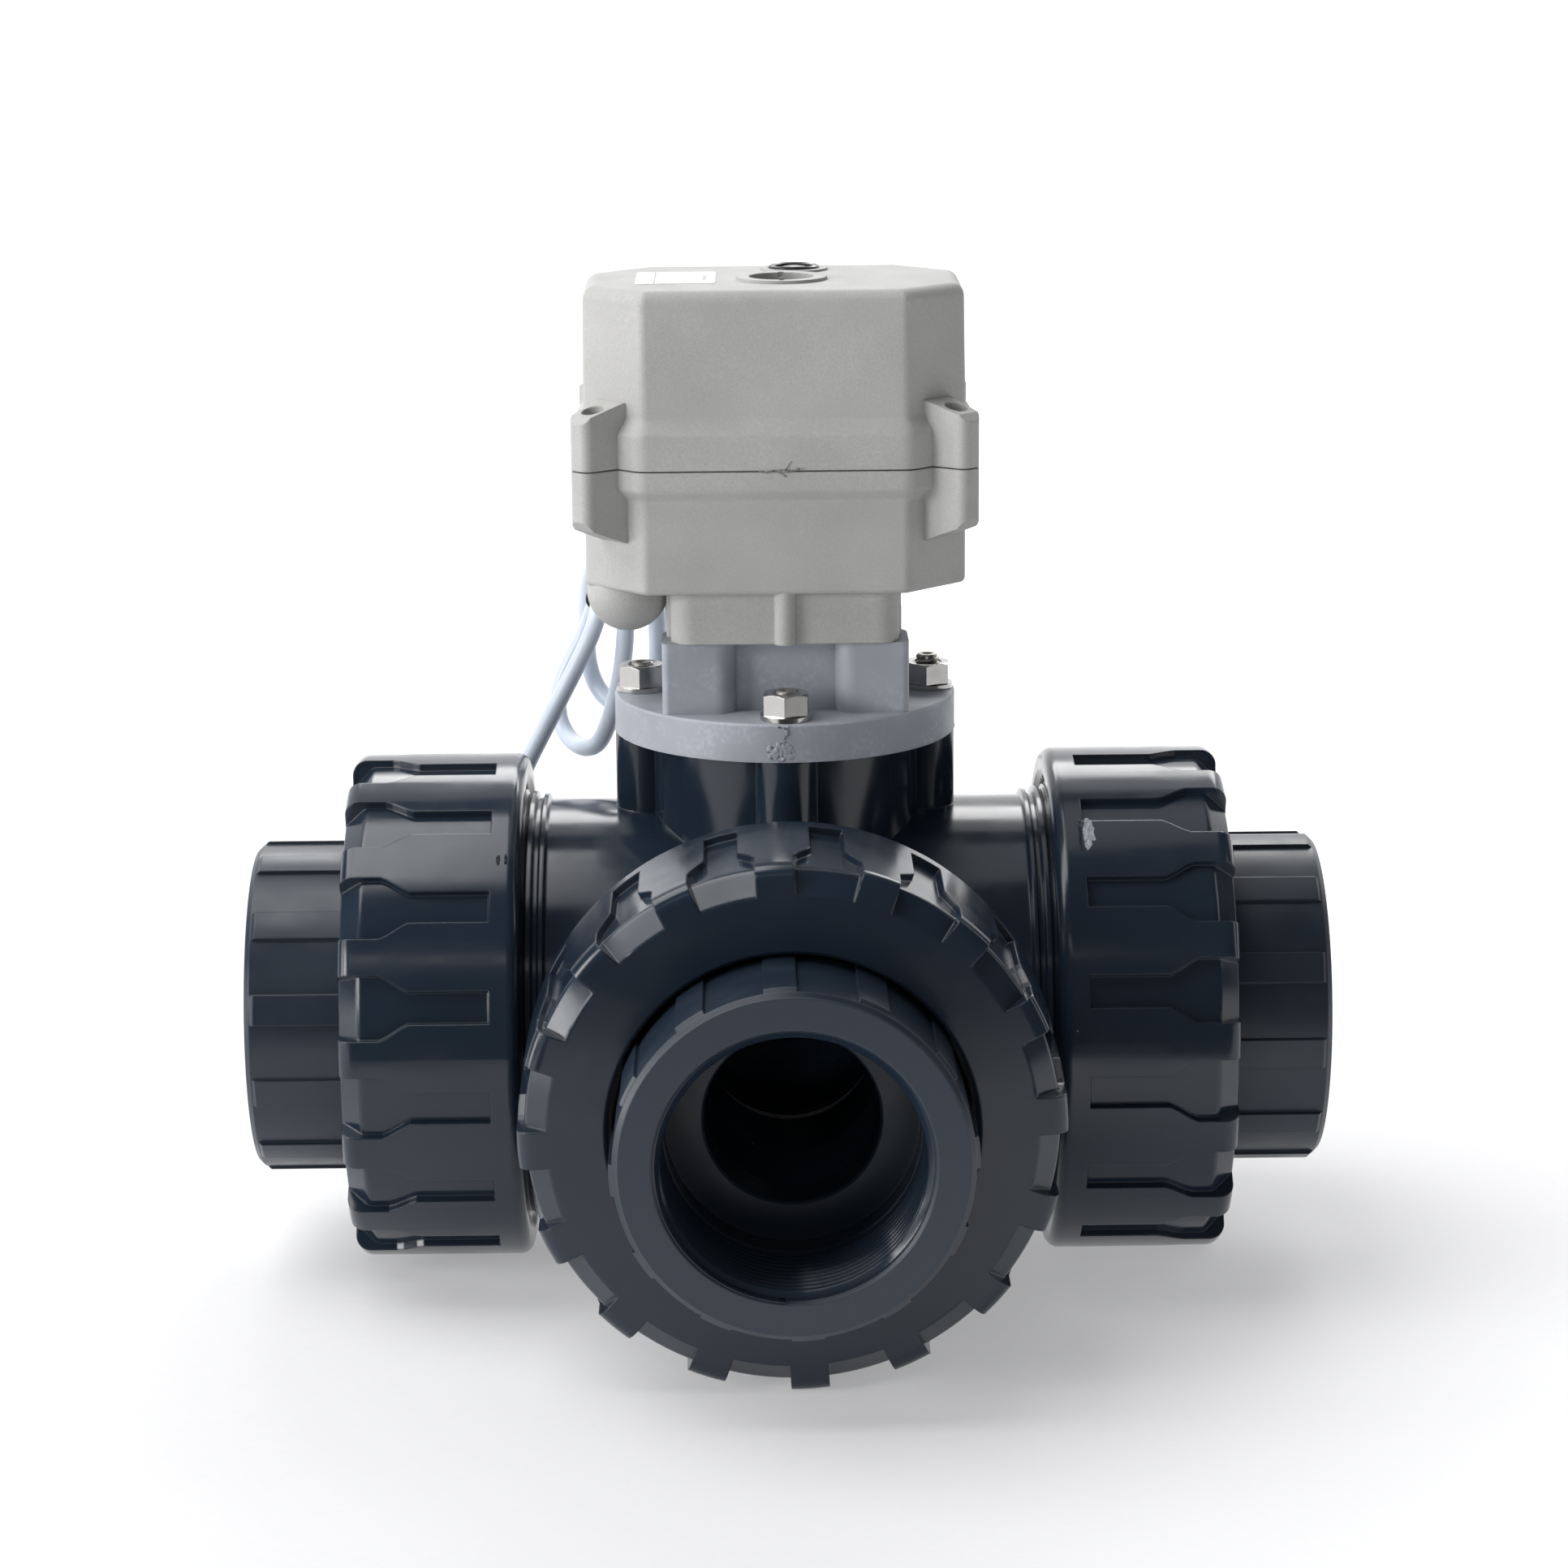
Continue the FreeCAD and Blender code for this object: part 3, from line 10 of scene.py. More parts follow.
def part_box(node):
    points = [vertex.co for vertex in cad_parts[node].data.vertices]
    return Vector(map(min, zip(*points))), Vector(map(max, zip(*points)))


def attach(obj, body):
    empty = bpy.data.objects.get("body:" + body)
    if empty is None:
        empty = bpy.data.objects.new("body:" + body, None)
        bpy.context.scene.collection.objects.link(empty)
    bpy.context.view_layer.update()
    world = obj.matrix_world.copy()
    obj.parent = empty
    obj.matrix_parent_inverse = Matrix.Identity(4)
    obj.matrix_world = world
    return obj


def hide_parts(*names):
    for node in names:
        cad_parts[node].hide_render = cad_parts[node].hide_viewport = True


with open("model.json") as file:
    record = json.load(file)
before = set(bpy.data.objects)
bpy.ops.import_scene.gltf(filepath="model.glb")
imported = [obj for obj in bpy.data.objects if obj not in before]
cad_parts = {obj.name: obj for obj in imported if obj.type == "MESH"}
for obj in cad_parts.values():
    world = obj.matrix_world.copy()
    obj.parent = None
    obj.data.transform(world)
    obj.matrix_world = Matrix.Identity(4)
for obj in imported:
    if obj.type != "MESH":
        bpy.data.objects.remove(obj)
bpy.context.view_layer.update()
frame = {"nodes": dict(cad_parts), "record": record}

MM = 0.001

# The point where the port axes cross: the middle of the left port's axis, at x = 0.
port_low, port_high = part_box("union_connector_left")
CENTRE = Vector((0.0, (port_low.y + port_high.y) / 2, (port_low.z + port_high.z) / 2))


def valve(x, y, z):
    """A point given in millimetres from the crossing of the port axes, in the row frame."""
    return CENTRE + Vector((x, y, z)) * MM


# ---------------------------------------------------------------- camera
CAMERA_PLACE = valve(-9.5, -937.8, 277.75)
CAMERA_YAW, CAMERA_DOWN, CAMERA_ROLL = 0.0098, 0.2348, -0.0083     # radians
CAMERA_LENS, CAMERA_SENSOR = 92.83, 36.0                           # mm
CAMERA_CLIP = (0.05, 50.0)                                         # metres

camera = bpy.data.objects.new("camera", bpy.data.cameras.new("camera"))
camera.data.lens = CAMERA_LENS
camera.data.sensor_width = CAMERA_SENSOR
camera.data.clip_start, camera.data.clip_end = CAMERA_CLIP
camera.matrix_world = (
    Matrix.Translation(CAMERA_PLACE)
    @ Matrix.Rotation(-CAMERA_YAW, 4, "Z")
    @ Matrix.Rotation(math.pi / 2 - CAMERA_DOWN, 4, "X")
    @ Matrix.Rotation(CAMERA_ROLL, 4, "Z")
)
bpy.context.scene.collection.objects.link(camera)
bpy.context.scene.camera = camera


# ---------------------------------------------------------------- shader helpers
BEVEL_SAMPLES = 4
DUST_PER_METRE, DUST_SIZE = 230, 0.05      # cells along a metre, and a fleck's share of its cell
DUST_PALER, SCUFF_PALER = 6.0, 1.9         # how much lighter than the plastic


def node(tree, kind, sockets=(), **settings):
    """A shader node. Each socket in the list is set to a value, or linked from another socket."""
    made = tree.nodes.new("ShaderNode" + kind)
    for key, value in settings.items():
        setattr(made, key, value)
    for key, value in dict(sockets).items():
        if isinstance(value, bpy.types.NodeSocket):
            tree.links.new(value, made.inputs[key])
        else:
            made.inputs[key].default_value = value
    return made


def principled(name, **constants):
    """A material with one Principled shader, and its constant sockets."""
    mat = bpy.data.materials.new(name)
    mat.use_nodes = True
    shader = mat.node_tree.nodes["Principled BSDF"]
    for key, value in constants.items():
        shader.inputs[key.replace("_", " ")].default_value = value
    return mat, mat.node_tree, shader


def noise(tree, place, scale, detail=3.0, stretch=(1, 1, 1)):
    """Noise of about 1/scale metres, from 0 to 1 about 0.5, drawn out along an axis by stretch."""
    at = node(tree, "Mapping", {"Vector": place, "Scale": stretch}).outputs[0]
    return node(tree, "TexNoise", {"Vector": at, "Scale": scale, "Detail": detail}).outputs["Fac"]


def spread(tree, value, low, high, start=0.35, end=0.65):
    """Value from start to end, spread over low to high and held there."""
    return node(tree, "MapRange", {"Value": value, "From Min": start, "From Max": end,
                                   "To Min": low, "To Max": high}).outputs["Result"]


def maths(tree, operation, a, b=0.0):
    """The result of a maths node on a and b, each a socket or a number."""
    return node(tree, "Math", {0: a, 1: b}, operation=operation).outputs[0]


def tinted(tree, share, first, second):
    """A colour that goes from first to second as share goes from 0 to 1."""
    mix = node(tree, "Mix", {0: share}, data_type="RGBA")
    for index, colour in ((6, first), (7, second)):
        if isinstance(colour, bpy.types.NodeSocket):
            tree.links.new(colour, mix.inputs[index])
        else:
            mix.inputs[index].default_value = (*colour, 1)
    return mix.outputs[2]


def shade(colour, factor):
    """The colour made lighter or darker by a factor."""
    return tuple(min(1.0, c * factor) for c in colour)


def specks(tree, place, per_metre, share, size):
    """1 on scattered round specks: one in a cell of 1/per_metre, in that share of the cells."""
    cells = node(tree, "TexVoronoi", {"Vector": place, "Scale": per_metre})
    near = maths(tree, "LESS_THAN", cells.outputs["Distance"], size)
    lot = node(tree, "SeparateColor", {"Color": cells.outputs["Color"]}).outputs[0]
    return maths(tree, "MULTIPLY", near, maths(tree, "LESS_THAN", lot, share))


def soft_relief(tree, shader, height, depth, edge):
    """Gives a shader edges rounded by edge mm and a relief of depth mm that follows height."""
    rounded = node(tree, "Bevel", {"Radius": edge * MM}, samples=BEVEL_SAMPLES).outputs[0]
    bump = node(tree, "Bump", {"Strength": 1.0, "Distance": depth * MM, "Height": height,
                               "Normal": rounded})
    tree.links.new(bump.outputs[0], shader.inputs["Normal"])


def moulded(name, colour, rough, mottle=0.1, patch=60, grain=900, depth=0.02, dust=0.0,
            scuff=0.0, edge=0.3, speckle=0.0):
    """Moulded plastic or rubber: mottled colour in about patch blotches a metre, uneven gloss
    from the first to the second figure of rough, a relief of depth mm with about grain bumps a
    metre, and edges rounded by edge mm. Dust, scuff and speckle are shares of dust flecks, pale
    scuffs and darker grain."""
    mat, tree, shader = principled(name)
    place = node(tree, "TexCoord").outputs["Object"]
    patches = noise(tree, place, patch, 4)
    base = tinted(tree, spread(tree, patches, 0, 1), shade(colour, 1 - mottle),
                  shade(colour, 1 + mottle))
    fine = noise(tree, place, grain, 2)
    if speckle:
        base = tinted(tree, spread(tree, fine, 0, speckle, 0.3, 0.7), base, shade(colour, 0.55))
    gloss = spread(tree, noise(tree, place, patch * 2.7, 5), rough[0], rough[1])
    if scuff:
        scratches = maths(tree, "MULTIPLY",
                          spread(tree, noise(tree, place, 900, 8), 0, 1, 0.45, 0.7),
                          spread(tree, noise(tree, place, 110, 5), 0, 1, 0.46, 0.66))
        base = tinted(tree, maths(tree, "MULTIPLY", scratches, scuff), base,
                      shade(colour, SCUFF_PALER))
        gloss = maths(tree, "ADD", gloss, maths(tree, "MULTIPLY", scratches, 0.15))
    if dust:
        flecks = specks(tree, place, DUST_PER_METRE, dust, DUST_SIZE)
        base = tinted(tree, flecks, base, shade(colour, DUST_PALER))
        gloss = maths(tree, "MAXIMUM", gloss, maths(tree, "MULTIPLY", flecks, 0.8))
    tree.links.new(base, shader.inputs["Base Color"])
    tree.links.new(gloss, shader.inputs["Roughness"])
    waves = maths(tree, "ADD", fine, maths(tree, "MULTIPLY", patches, 0.6))
    soft_relief(tree, shader, waves, depth, edge)
    return mat


def mask_beyond(tree, place, distance):
    """1 where a point is further than distance mm along the axis of any of the three ports."""
    along = node(tree, "SeparateXYZ", {"Vector": node(tree, "VectorMath", {
        0: place, 1: tuple(-c for c in CENTRE)}, operation="ADD").outputs[0]}).outputs
    reach = maths(tree, "MAXIMUM", maths(tree, "ABSOLUTE", along["X"]),
                  maths(tree, "MULTIPLY", along["Y"], -1.0))
    return maths(tree, "GREATER_THAN", reach, distance * MM)


def machined_face(mat, colour, rough, distance):
    """Gives a material a paler, satin look on the faces further out than distance mm."""
    tree = mat.node_tree
    shader = tree.nodes["Principled BSDF"]
    place = node(tree, "TexCoord").outputs["Object"]
    mask = mask_beyond(tree, place, distance)
    old = {key: shader.inputs[key].links[0].from_socket for key in ("Base Color", "Roughness")}
    tree.links.new(tinted(tree, mask, old["Base Color"], colour), shader.inputs["Base Color"])
    tree.links.new(maths(tree, "MAXIMUM", old["Roughness"], maths(tree, "MULTIPLY", mask, rough)),
                   shader.inputs["Roughness"])


def metal(name, colour, rough, lines=(1, 1, 12), grain=500, depth=0.004, tarnish=0.25, edge=0.2):
    """Bare metal: fine lines drawn out along an axis, uneven polish and dull patches."""
    mat, tree, shader = principled(name, Metallic=1.0)
    place = node(tree, "TexCoord").outputs["Object"]
    drawn = noise(tree, place, grain, 4, lines)
    patches = noise(tree, place, 110, 5)
    dull = spread(tree, patches, 0, tarnish, 0.45, 0.7)
    base = tinted(tree, dull, colour, shade(colour, 0.45))
    gloss = maths(tree, "ADD", spread(tree, drawn, rough[0], rough[1]),
                  maths(tree, "MULTIPLY", dull, 0.5))
    tree.links.new(base, shader.inputs["Base Color"])
    tree.links.new(gloss, shader.inputs["Roughness"])
    soft_relief(tree, shader, drawn, depth, edge)
    return mat


# ---------------------------------------------------------------- cable
PALE_JACKET = (0.60, 0.66, 0.75)
cable_jacket = moulded("cable_jacket", PALE_JACKET, (0.3, 0.42), mottle=0.03, grain=2500,
                       depth=0.006, edge=0.1)

CABLE_R = 2.2
# Points of the cable's line in millimetres from the crossing of the port axes, from the gland
# to where it meets the coil.
CABLE_ROUTE = [
    (-37.3, 43.0, 104.5),
    (-37.3, 54.0, 104.5),
    (-35.9, 61.2, 101.3),
    (-33.4, 64.4, 94.4),
    (-31.6, 64.2, 86.0),
    (-31.2, 62.6, 75.0),
    (-31.6, 62.0, 65.4),
    (-34.8, 64.7, 59.0),
    (-40.4, 69.0, 57.0),
    (-46.0, 73.3, 59.6),
    (-49.4, 76.0, 66.3),
    (-49.8, 76.8, 77.0),
    (-49.2, 76.0, 87.4),
    (-47.1, 71.2, 94.8),
    (-43.9, 63.5, 97.7),
    (-40.7, 55.8, 94.7),
    (-38.7, 51.0, 87.4),
    (-39.2, 50.6, 76.0),
    (-41.0, 51.0, 66.0),
    (-43.8, 52.0, 56.4),
    (-46.5, 55.1, 50.7),
    (-50.5, 60.0, 48.7),
    (-54.6, 64.9, 50.6),
    (-57.3, 68.2, 56.2),
    (-56.4, 69.4, 63.8),
    (-53.0, 70.0, 70.8),
    (-49.4, 70.0, 77.4),
    (-47.2, 67.2, 84.0),
    (-46.2, 61.0, 88.0),
    (-45.4, 54.0, 87.6),
    (-46.4, 48.8, 82.6),
    (-50.2, 47.6, 74.6),
    (-57.6, 48.8, 60.2),
    (-66.6, 52.2, 42.5),
    (-73.0, 58.0, 24.0),
    (-76.4, 64.5, 3.0),
    (-77.4, 69.0, -17.0),
    (-75.6, 74.0, -34.0),
    (-70.6, 81.2, -46.6),
    (-62.5, 91.0, -52.8),
]

COIL_CENTRE = (-41.2, 74.0)
COIL_R = 25.0
COIL_BOTTOM = -59.5
COIL_SPACING = 4.5           # between neighbouring turns
COIL_START, COIL_TURNS = 141.4, 3.226
COIL_STEP = 15.0             # degrees between its points

COIL_LIFT = 0.05             # above the surface that it lies on
COIL_OUTER, COIL_INNER = COIL_R + COIL_SPACING / 2, COIL_R - COIL_SPACING / 2
COIL_LOW = COIL_BOTTOM + CABLE_R + COIL_LIFT
COIL_HIGH = COIL_LOW + COIL_SPACING
# Where the cable changes track, in turns, with its radius and height after the change.
COIL_TRACKS = [(0.0, COIL_OUTER, COIL_HIGH), (0.85, COIL_INNER, COIL_HIGH),
               (1.70, COIL_INNER, COIL_LOW), (2.55, COIL_OUTER, COIL_LOW)]
CROSS_OVER = 0.15            # turns that a change of track takes


def coil_point(turns):
    """The cable's centre after that many turns of the coil, clockwise from above."""
    radius, height = COIL_TRACKS[0][1:]
    for start, to_radius, to_height in COIL_TRACKS[1:]:
        share = min(1.0, max(0.0, (turns - start) / CROSS_OVER))
        share = share * share * (3 - 2 * share)
        radius += (to_radius - radius) * share
        height += (to_height - height) * share
    radius /= math.cos(math.radians(COIL_STEP / 2))
    angle = math.radians(COIL_START - 360 * turns)
    return (COIL_CENTRE[0] + radius * math.cos(angle), COIL_CENTRE[1] + radius * math.sin(angle),
            height)


def curve_piece(name, points, radius, mat, body):
    """A round cord along a smooth line that points, in metres, control."""
    data = bpy.data.curves.new(name, "CURVE")
    data.dimensions = "3D"
    data.bevel_depth = radius
    data.bevel_resolution = 7
    data.resolution_u = 10
    data.use_fill_caps = True
    line = data.splines.new("NURBS")
    line.points.add(len(points) - 1)
    for point, place in zip(line.points, points):
        point.co = (*place, 1)
    line.order_u = 3
    line.use_endpoint_u = True
    data.materials.append(mat)
    piece = bpy.data.objects.new(name, data)
    bpy.context.scene.collection.objects.link(piece)
    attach(piece, body)
    return piece


coil_steps = math.floor(COIL_TURNS * 360 / COIL_STEP)
coil_points = [coil_point((i + 0.5) * COIL_STEP / 360) for i in range(coil_steps)]
coil_points.append(coil_point(COIL_TURNS))
cable = curve_piece("cable", [valve(*p) for p in CABLE_ROUTE + coil_points], CABLE_R * MM,
                    cable_jacket, "valve")
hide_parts("power_cable", "cable_coil")


# ---------------------------------------------------------------- stripped end of the cable
CORE_R = 0.6
CORE_LENGTH = 26.0
CORE_PCD_R = 1.3
CORE_LINE = (-0.12, 0, 0.3, 0.6, 0.8)      # the insulation's points, as shares of the length
CORE_TIP = (0.1, 0.2)                      # the bare tip's, past the insulation
CORE_COLOURS = {"brown": (0.12, 0.045, 0.02), "blue": (0.02, 0.08, 0.35),
                "green": (0.03, 0.25, 0.06), "red": (0.45, 0.02, 0.02),
                "yellow": (0.6, 0.42, 0.03)}

end_angle = math.radians(COIL_START - 360 * COIL_TURNS)
jacket_end = Vector(coil_point(COIL_TURNS))
ahead = Vector((math.sin(end_angle), -math.cos(end_angle), 0))
outward = Vector((math.cos(end_angle), math.sin(end_angle), 0))
tinned = metal("tinned_copper", (0.75, 0.7, 0.62), (0.25, 0.4))

for i, (colour_name, colour) in enumerate(CORE_COLOURS.items()):
    turn = math.radians(90 + 360 * i / len(CORE_COLOURS))
    lean = CORE_PCD_R * (outward * math.cos(turn) + Vector((0, 0, math.sin(turn))))
    start = jacket_end + lean
    line = [start + ahead * CORE_LENGTH * t + lean * 0.5 * math.sin(math.pi * t / 2)
            for t in CORE_LINE]
    insulation = moulded("core_" + colour_name, colour, (0.35, 0.45), grain=2500, depth=0.004,
                         edge=0.05)
    curve_piece("core_" + colour_name, [valve(*q) for q in line], CORE_R * MM,
                             insulation, "valve")
    tip = [line[-1] - ahead] + [line[-1] + ahead * CORE_LENGTH * t for t in CORE_TIP]
    curve_piece("core_tip_" + colour_name, [valve(*q) for q in tip],
                             CORE_R * 0.75 * MM, tinned, "valve")
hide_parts("cable_cores")


# ---------------------------------------------------------------- mesh helpers
def mesh_piece(name, points, faces, mat, body, smooth=True):
    """A visible mesh with one material, that rides on a body."""
    data = bpy.data.meshes.new(name)
    data.from_pydata([tuple(p) for p in points], [], faces)
    data.validate()
    data.materials.append(mat)
    for face in data.polygons:
        face.use_smooth = smooth
    piece = bpy.data.objects.new(name, data)
    bpy.context.scene.collection.objects.link(piece)
    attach(piece, body)
    return piece


def grid_faces(rows, columns, first=0, closed_rows=False, closed_columns=True):
    """Quads of a grid whose point (row, column) has the index first + row * columns + column."""
    faces = []
    for r in range(rows if closed_rows else rows - 1):
        for c in range(columns if closed_columns else columns - 1):
            a, b = first + r * columns, first + (r + 1) % rows * columns
            d = (c + 1) % columns
            faces.append((a + c, a + d, b + d, b + c))
    return faces


def end_caps(rows, columns, first=0):
    """The two faces that close a grid's first and last rows."""
    last = first + (rows - 1) * columns
    return [tuple(reversed(range(first, first + columns))), tuple(range(last, last + columns))]


# ---------------------------------------------------------------- materials of the CAD nodes
DARK_PVC = (0.0135, 0.0225, 0.0365)
MACHINED_PVC, MACHINED_ROUGH = (0.03, 0.042, 0.06), 0.42
CONNECTOR_FACE = 126.2       # distance of the connectors' machined ends, just short of them
FLANGE_GREY = (0.365, 0.39, 0.435)
HOUSING_GREY = (0.475, 0.472, 0.46)
STAINLESS = (0.47, 0.46, 0.445)

pvc = moulded("dark_pvc", DARK_PVC, (0.13, 0.2), mottle=0.05, patch=35, grain=260, depth=0.006,
              dust=0.02, edge=0.6)
connector_pvc = moulded("dark_pvc_connector", DARK_PVC, (0.3, 0.4), mottle=0.05, patch=35,
                        grain=260, depth=0.006, dust=0.035, edge=0.5)
machined_face(connector_pvc, MACHINED_PVC, MACHINED_ROUGH, CONNECTOR_FACE)
flange_plastic = moulded("flange_plastic", FLANGE_GREY, (0.42, 0.56), mottle=0.07, patch=55,
                         grain=1400, depth=0.02, scuff=0.35, edge=0.4)
housing_plastic = moulded("housing_plastic", HOUSING_GREY, (0.6, 0.72), mottle=0.05, patch=40,
                          grain=2600, depth=0.05, scuff=0.1, edge=0.6, speckle=0.3)
stainless = metal("stainless", STAINLESS, (0.1, 0.2), lines=(1, 1, 1), grain=240, tarnish=0.12)
stud_steel = metal("stud_steel", (0.42, 0.4, 0.37), (0.22, 0.4), lines=(1, 1, 1), tarnish=0.5,
                   edge=0.08)
gate_pale = moulded("gate_pale", (0.33, 0.36, 0.4), (0.25, 0.4), mottle=0.2, patch=600,
                    grain=1500, depth=0.05, edge=0.1)
zinc = metal("zinc_steel", (0.52, 0.53, 0.55), (0.3, 0.45))
brass = metal("brass", (0.72, 0.52, 0.22), (0.2, 0.35))
gear_steel = metal("gear_steel", (0.45, 0.45, 0.46), (0.3, 0.45))
ptfe = moulded("ptfe", (0.82, 0.82, 0.80), (0.35, 0.5), mottle=0.02, edge=0.2)
seal_rubber = moulded("seal_rubber", (0.018, 0.018, 0.019), (0.45, 0.6), edge=0.1)
plug_rubber = moulded("plug_rubber", (0.014, 0.014, 0.015), (0.14, 0.3), grain=500, edge=0.2)
black_plastic = moulded("black_plastic", (0.022, 0.022, 0.024), (0.32, 0.5), grain=1800,
                        depth=0.02, edge=0.3)
dial_plastic = moulded("dial_plastic", (0.075, 0.08, 0.085), (0.4, 0.55), grain=1500, edge=0.3)
acetal = moulded("acetal", (0.74, 0.72, 0.66), (0.3, 0.45), mottle=0.03, edge=0.2)
board_green = moulded("board_green", (0.03, 0.16, 0.06), (0.3, 0.4), patch=300, edge=0.1)
component_black = moulded("component_black", (0.03, 0.03, 0.033), (0.4, 0.6), grain=2500,
                          depth=0.02, edge=0.1)

# Printed areas of the label: x0, x1, y0, y1 in millimetres, and the print's darkness.
LABEL_PRINT = [(-32.9, -30.2, -3.0, 7.0, 0.35), (-32.9, -30.2, -15.0, -6.0, 0.25),
               (-29.3, -29.0, -15.8, 7.8, 0.8), (-27.6, -26.2, -14.0, -4.5, 0.3),
               (-25.2, -23.6, -14.0, -1.5, 0.3), (-22.6, -21.6, -10.5, -9.0, 0.6),
               (-20.6, -19.2, -14.0, -5.5, 0.3), (-18.2, -17.3, -10.0, 0.0, 0.65)]


def printed_label():
    """White gloss paper with plain grey blocks in place of its print."""
    mat, tree, shader = principled("label_paper")
    place = node(tree, "TexCoord").outputs["Object"]
    at = node(tree, "SeparateXYZ", {"Vector": place}).outputs
    grid = node(tree, "TexBrick", {"Vector": place, "Scale": 900.0, "Color1": (1, 1, 1, 1),
                                   "Color2": (0.8, 0.8, 0.8, 1), "Mortar": (0, 0, 0, 1)})
    print_share = None
    for x0, x1, y0, y1, dark in LABEL_PRINT:
        low, high = valve(x0, y0, 0), valve(x1, y1, 0)
        inside = dark
        for axis in (0, 1):
            for side, limit in (("GREATER_THAN", low[axis]), ("LESS_THAN", high[axis])):
                inside = maths(tree, "MULTIPLY", inside, maths(tree, side, at[axis], limit))
        print_share = inside if print_share is None else maths(tree, "MAXIMUM", print_share, inside)
    ink = maths(tree, "MULTIPLY", print_share,
                spread(tree, grid.outputs["Fac"], 1.0, 0.55, 0.0, 1.0))
    paper = tinted(tree, noise(tree, place, 300), (0.80, 0.80, 0.79), (0.84, 0.84, 0.83))
    tree.links.new(tinted(tree, ink, paper, (0.03, 0.03, 0.035)), shader.inputs["Base Color"])
    tree.links.new(spread(tree, noise(tree, place, 500), 0.3, 0.4), shader.inputs["Roughness"])
    return mat


label_paper = printed_label()

FINISHES = {
    "pvc_body": pvc, "pvc_flange": flange_plastic, "housing_grey": housing_plastic,
    "stainless": stainless, "zinc_steel": zinc, "brass": brass, "ptfe": ptfe,
    "seal_rubber": seal_rubber, "gear_plastic": acetal, "gear_steel": gear_steel,
    "black_plastic": black_plastic, "dial_plastic": dial_plastic, "plug_rubber": plug_rubber,
    "board_green": board_green, "component_black": component_black,
    "cable_jacket": cable_jacket, "core_colours": cable_jacket, "label_paper": label_paper,
}
for part in frame["record"]["subparts"]:
    mesh = frame["nodes"][part["node"]].data
    mesh.materials.clear()
    mesh.materials.append(FINISHES[part["material_slot"]])
for port in ("left", "right", "front"):
    frame["nodes"][f"union_connector_{port}"].data.materials[0] = connector_pvc


# ---------------------------------------------------------------- port threads
PORTS = {"left": Vector((-1, 0, 0)), "right": Vector((1, 0, 0)), "front": Vector((0, -1, 0))}
THREAD_PITCH = 2.309         # 11 to the inch
THREAD_MAJOR_R = 29.81
THREAD_MINOR_R = 28.33
THREAD_START, THREAD_END = 100.6, 125.4     # along the port's axis
# Profile of the ridge: share of the pitch along the axis, radius.
THREAD_PROFILE = [(-0.5, THREAD_MAJOR_R + 0.3), (-0.5, THREAD_MAJOR_R - 0.02),
                  (-0.36, THREAD_MAJOR_R - 0.18), (-0.13, THREAD_MINOR_R + 0.12),
                  (0.0, THREAD_MINOR_R), (0.13, THREAD_MINOR_R + 0.12),
                  (0.36, THREAD_MAJOR_R - 0.18), (0.5, THREAD_MAJOR_R - 0.02),
                  (0.5, THREAD_MAJOR_R + 0.3)]
THREAD_STEPS = 96            # around each turn


def thread_ridge(axis):
    """Points and faces of the helical ridge inside the port on that axis."""
    across = Vector((0, 0, 1)).cross(axis)
    turns = (THREAD_END - THREAD_START) / THREAD_PITCH
    count = round(turns * THREAD_STEPS) + 1
    points = []
    for i in range(count):
        turn = i / THREAD_STEPS
        fade = min(1.0, turn * 3, (turns - turn) * 3)
        angle = 2 * math.pi * turn
        direction = across * math.cos(angle) + axis.cross(across) * math.sin(angle)
        for share, radius in THREAD_PROFILE:
            rise = radius - THREAD_MAJOR_R
            r = THREAD_MAJOR_R + (rise * fade if rise < 0 else rise)
            along = THREAD_START + THREAD_PITCH * (turn + share)
            points.append(valve(*(axis * along + direction * r)))
    n = len(THREAD_PROFILE)
    return points, grid_faces(count, n) + end_caps(count, n)


for port, axis in PORTS.items():
    ridge, ridge_faces = thread_ridge(axis)
    mesh_piece(f"port_thread_{port}", ridge, ridge_faces, pvc, f"{port}_connector")


# ---------------------------------------------------------------- bonnet studs
STUD_TOPS = (84.9, 84.2, 83.6, 83.6)     # right, back, left and front
STUD_PCD_R = 33.8
STUD_FOOT = 50.2
STUD_MAJOR_R, STUD_MINOR_R = 2.93, 2.4
STUD_PITCH = 1.0
STUD_STEPS = 28


def threaded_stud(x, y, top):
    """Points and faces of a stud on (x, y) with an M6 thread and a dimple in its upper end."""
    turns = (top - STUD_FOOT) / STUD_PITCH - 1
    count = round(turns * STUD_STEPS) + 1
    profile = [(-0.5, STUD_MINOR_R - 0.4), (-0.5, STUD_MINOR_R), (-0.06, STUD_MAJOR_R),
               (0.06, STUD_MAJOR_R), (0.5, STUD_MINOR_R), (0.5, STUD_MINOR_R - 0.4)]
    points = []
    for i in range(count):
        turn = i / STUD_STEPS
        fade = min(1.0, turn * 2, (turns - turn) * 2)
        angle = 2 * math.pi * turn
        for share, r in profile:
            if r > STUD_MINOR_R:
                r = STUD_MINOR_R + (r - STUD_MINOR_R) * fade
            points.append(valve(x + r * math.cos(angle), y + r * math.sin(angle),
                                STUD_FOOT + STUD_PITCH * (turn + 0.5 + share)))
    n = len(profile)
    faces = grid_faces(count, n) + end_caps(count, n)
    first = len(points)
    rings = [(0.0, STUD_FOOT), (STUD_MINOR_R, STUD_FOOT), (STUD_MINOR_R, top - 0.35),
             (2.1, top), (1.45, top), (1.1, top - 0.55), (0.0, top - 0.65)]
    for r, z in rings:
        for i in range(STUD_STEPS):
            angle = 2 * math.pi * i / STUD_STEPS
            points.append(valve(x + r * math.cos(angle), y + r * math.sin(angle), z))
    faces += grid_faces(len(rings), STUD_STEPS, first)
    return points, faces


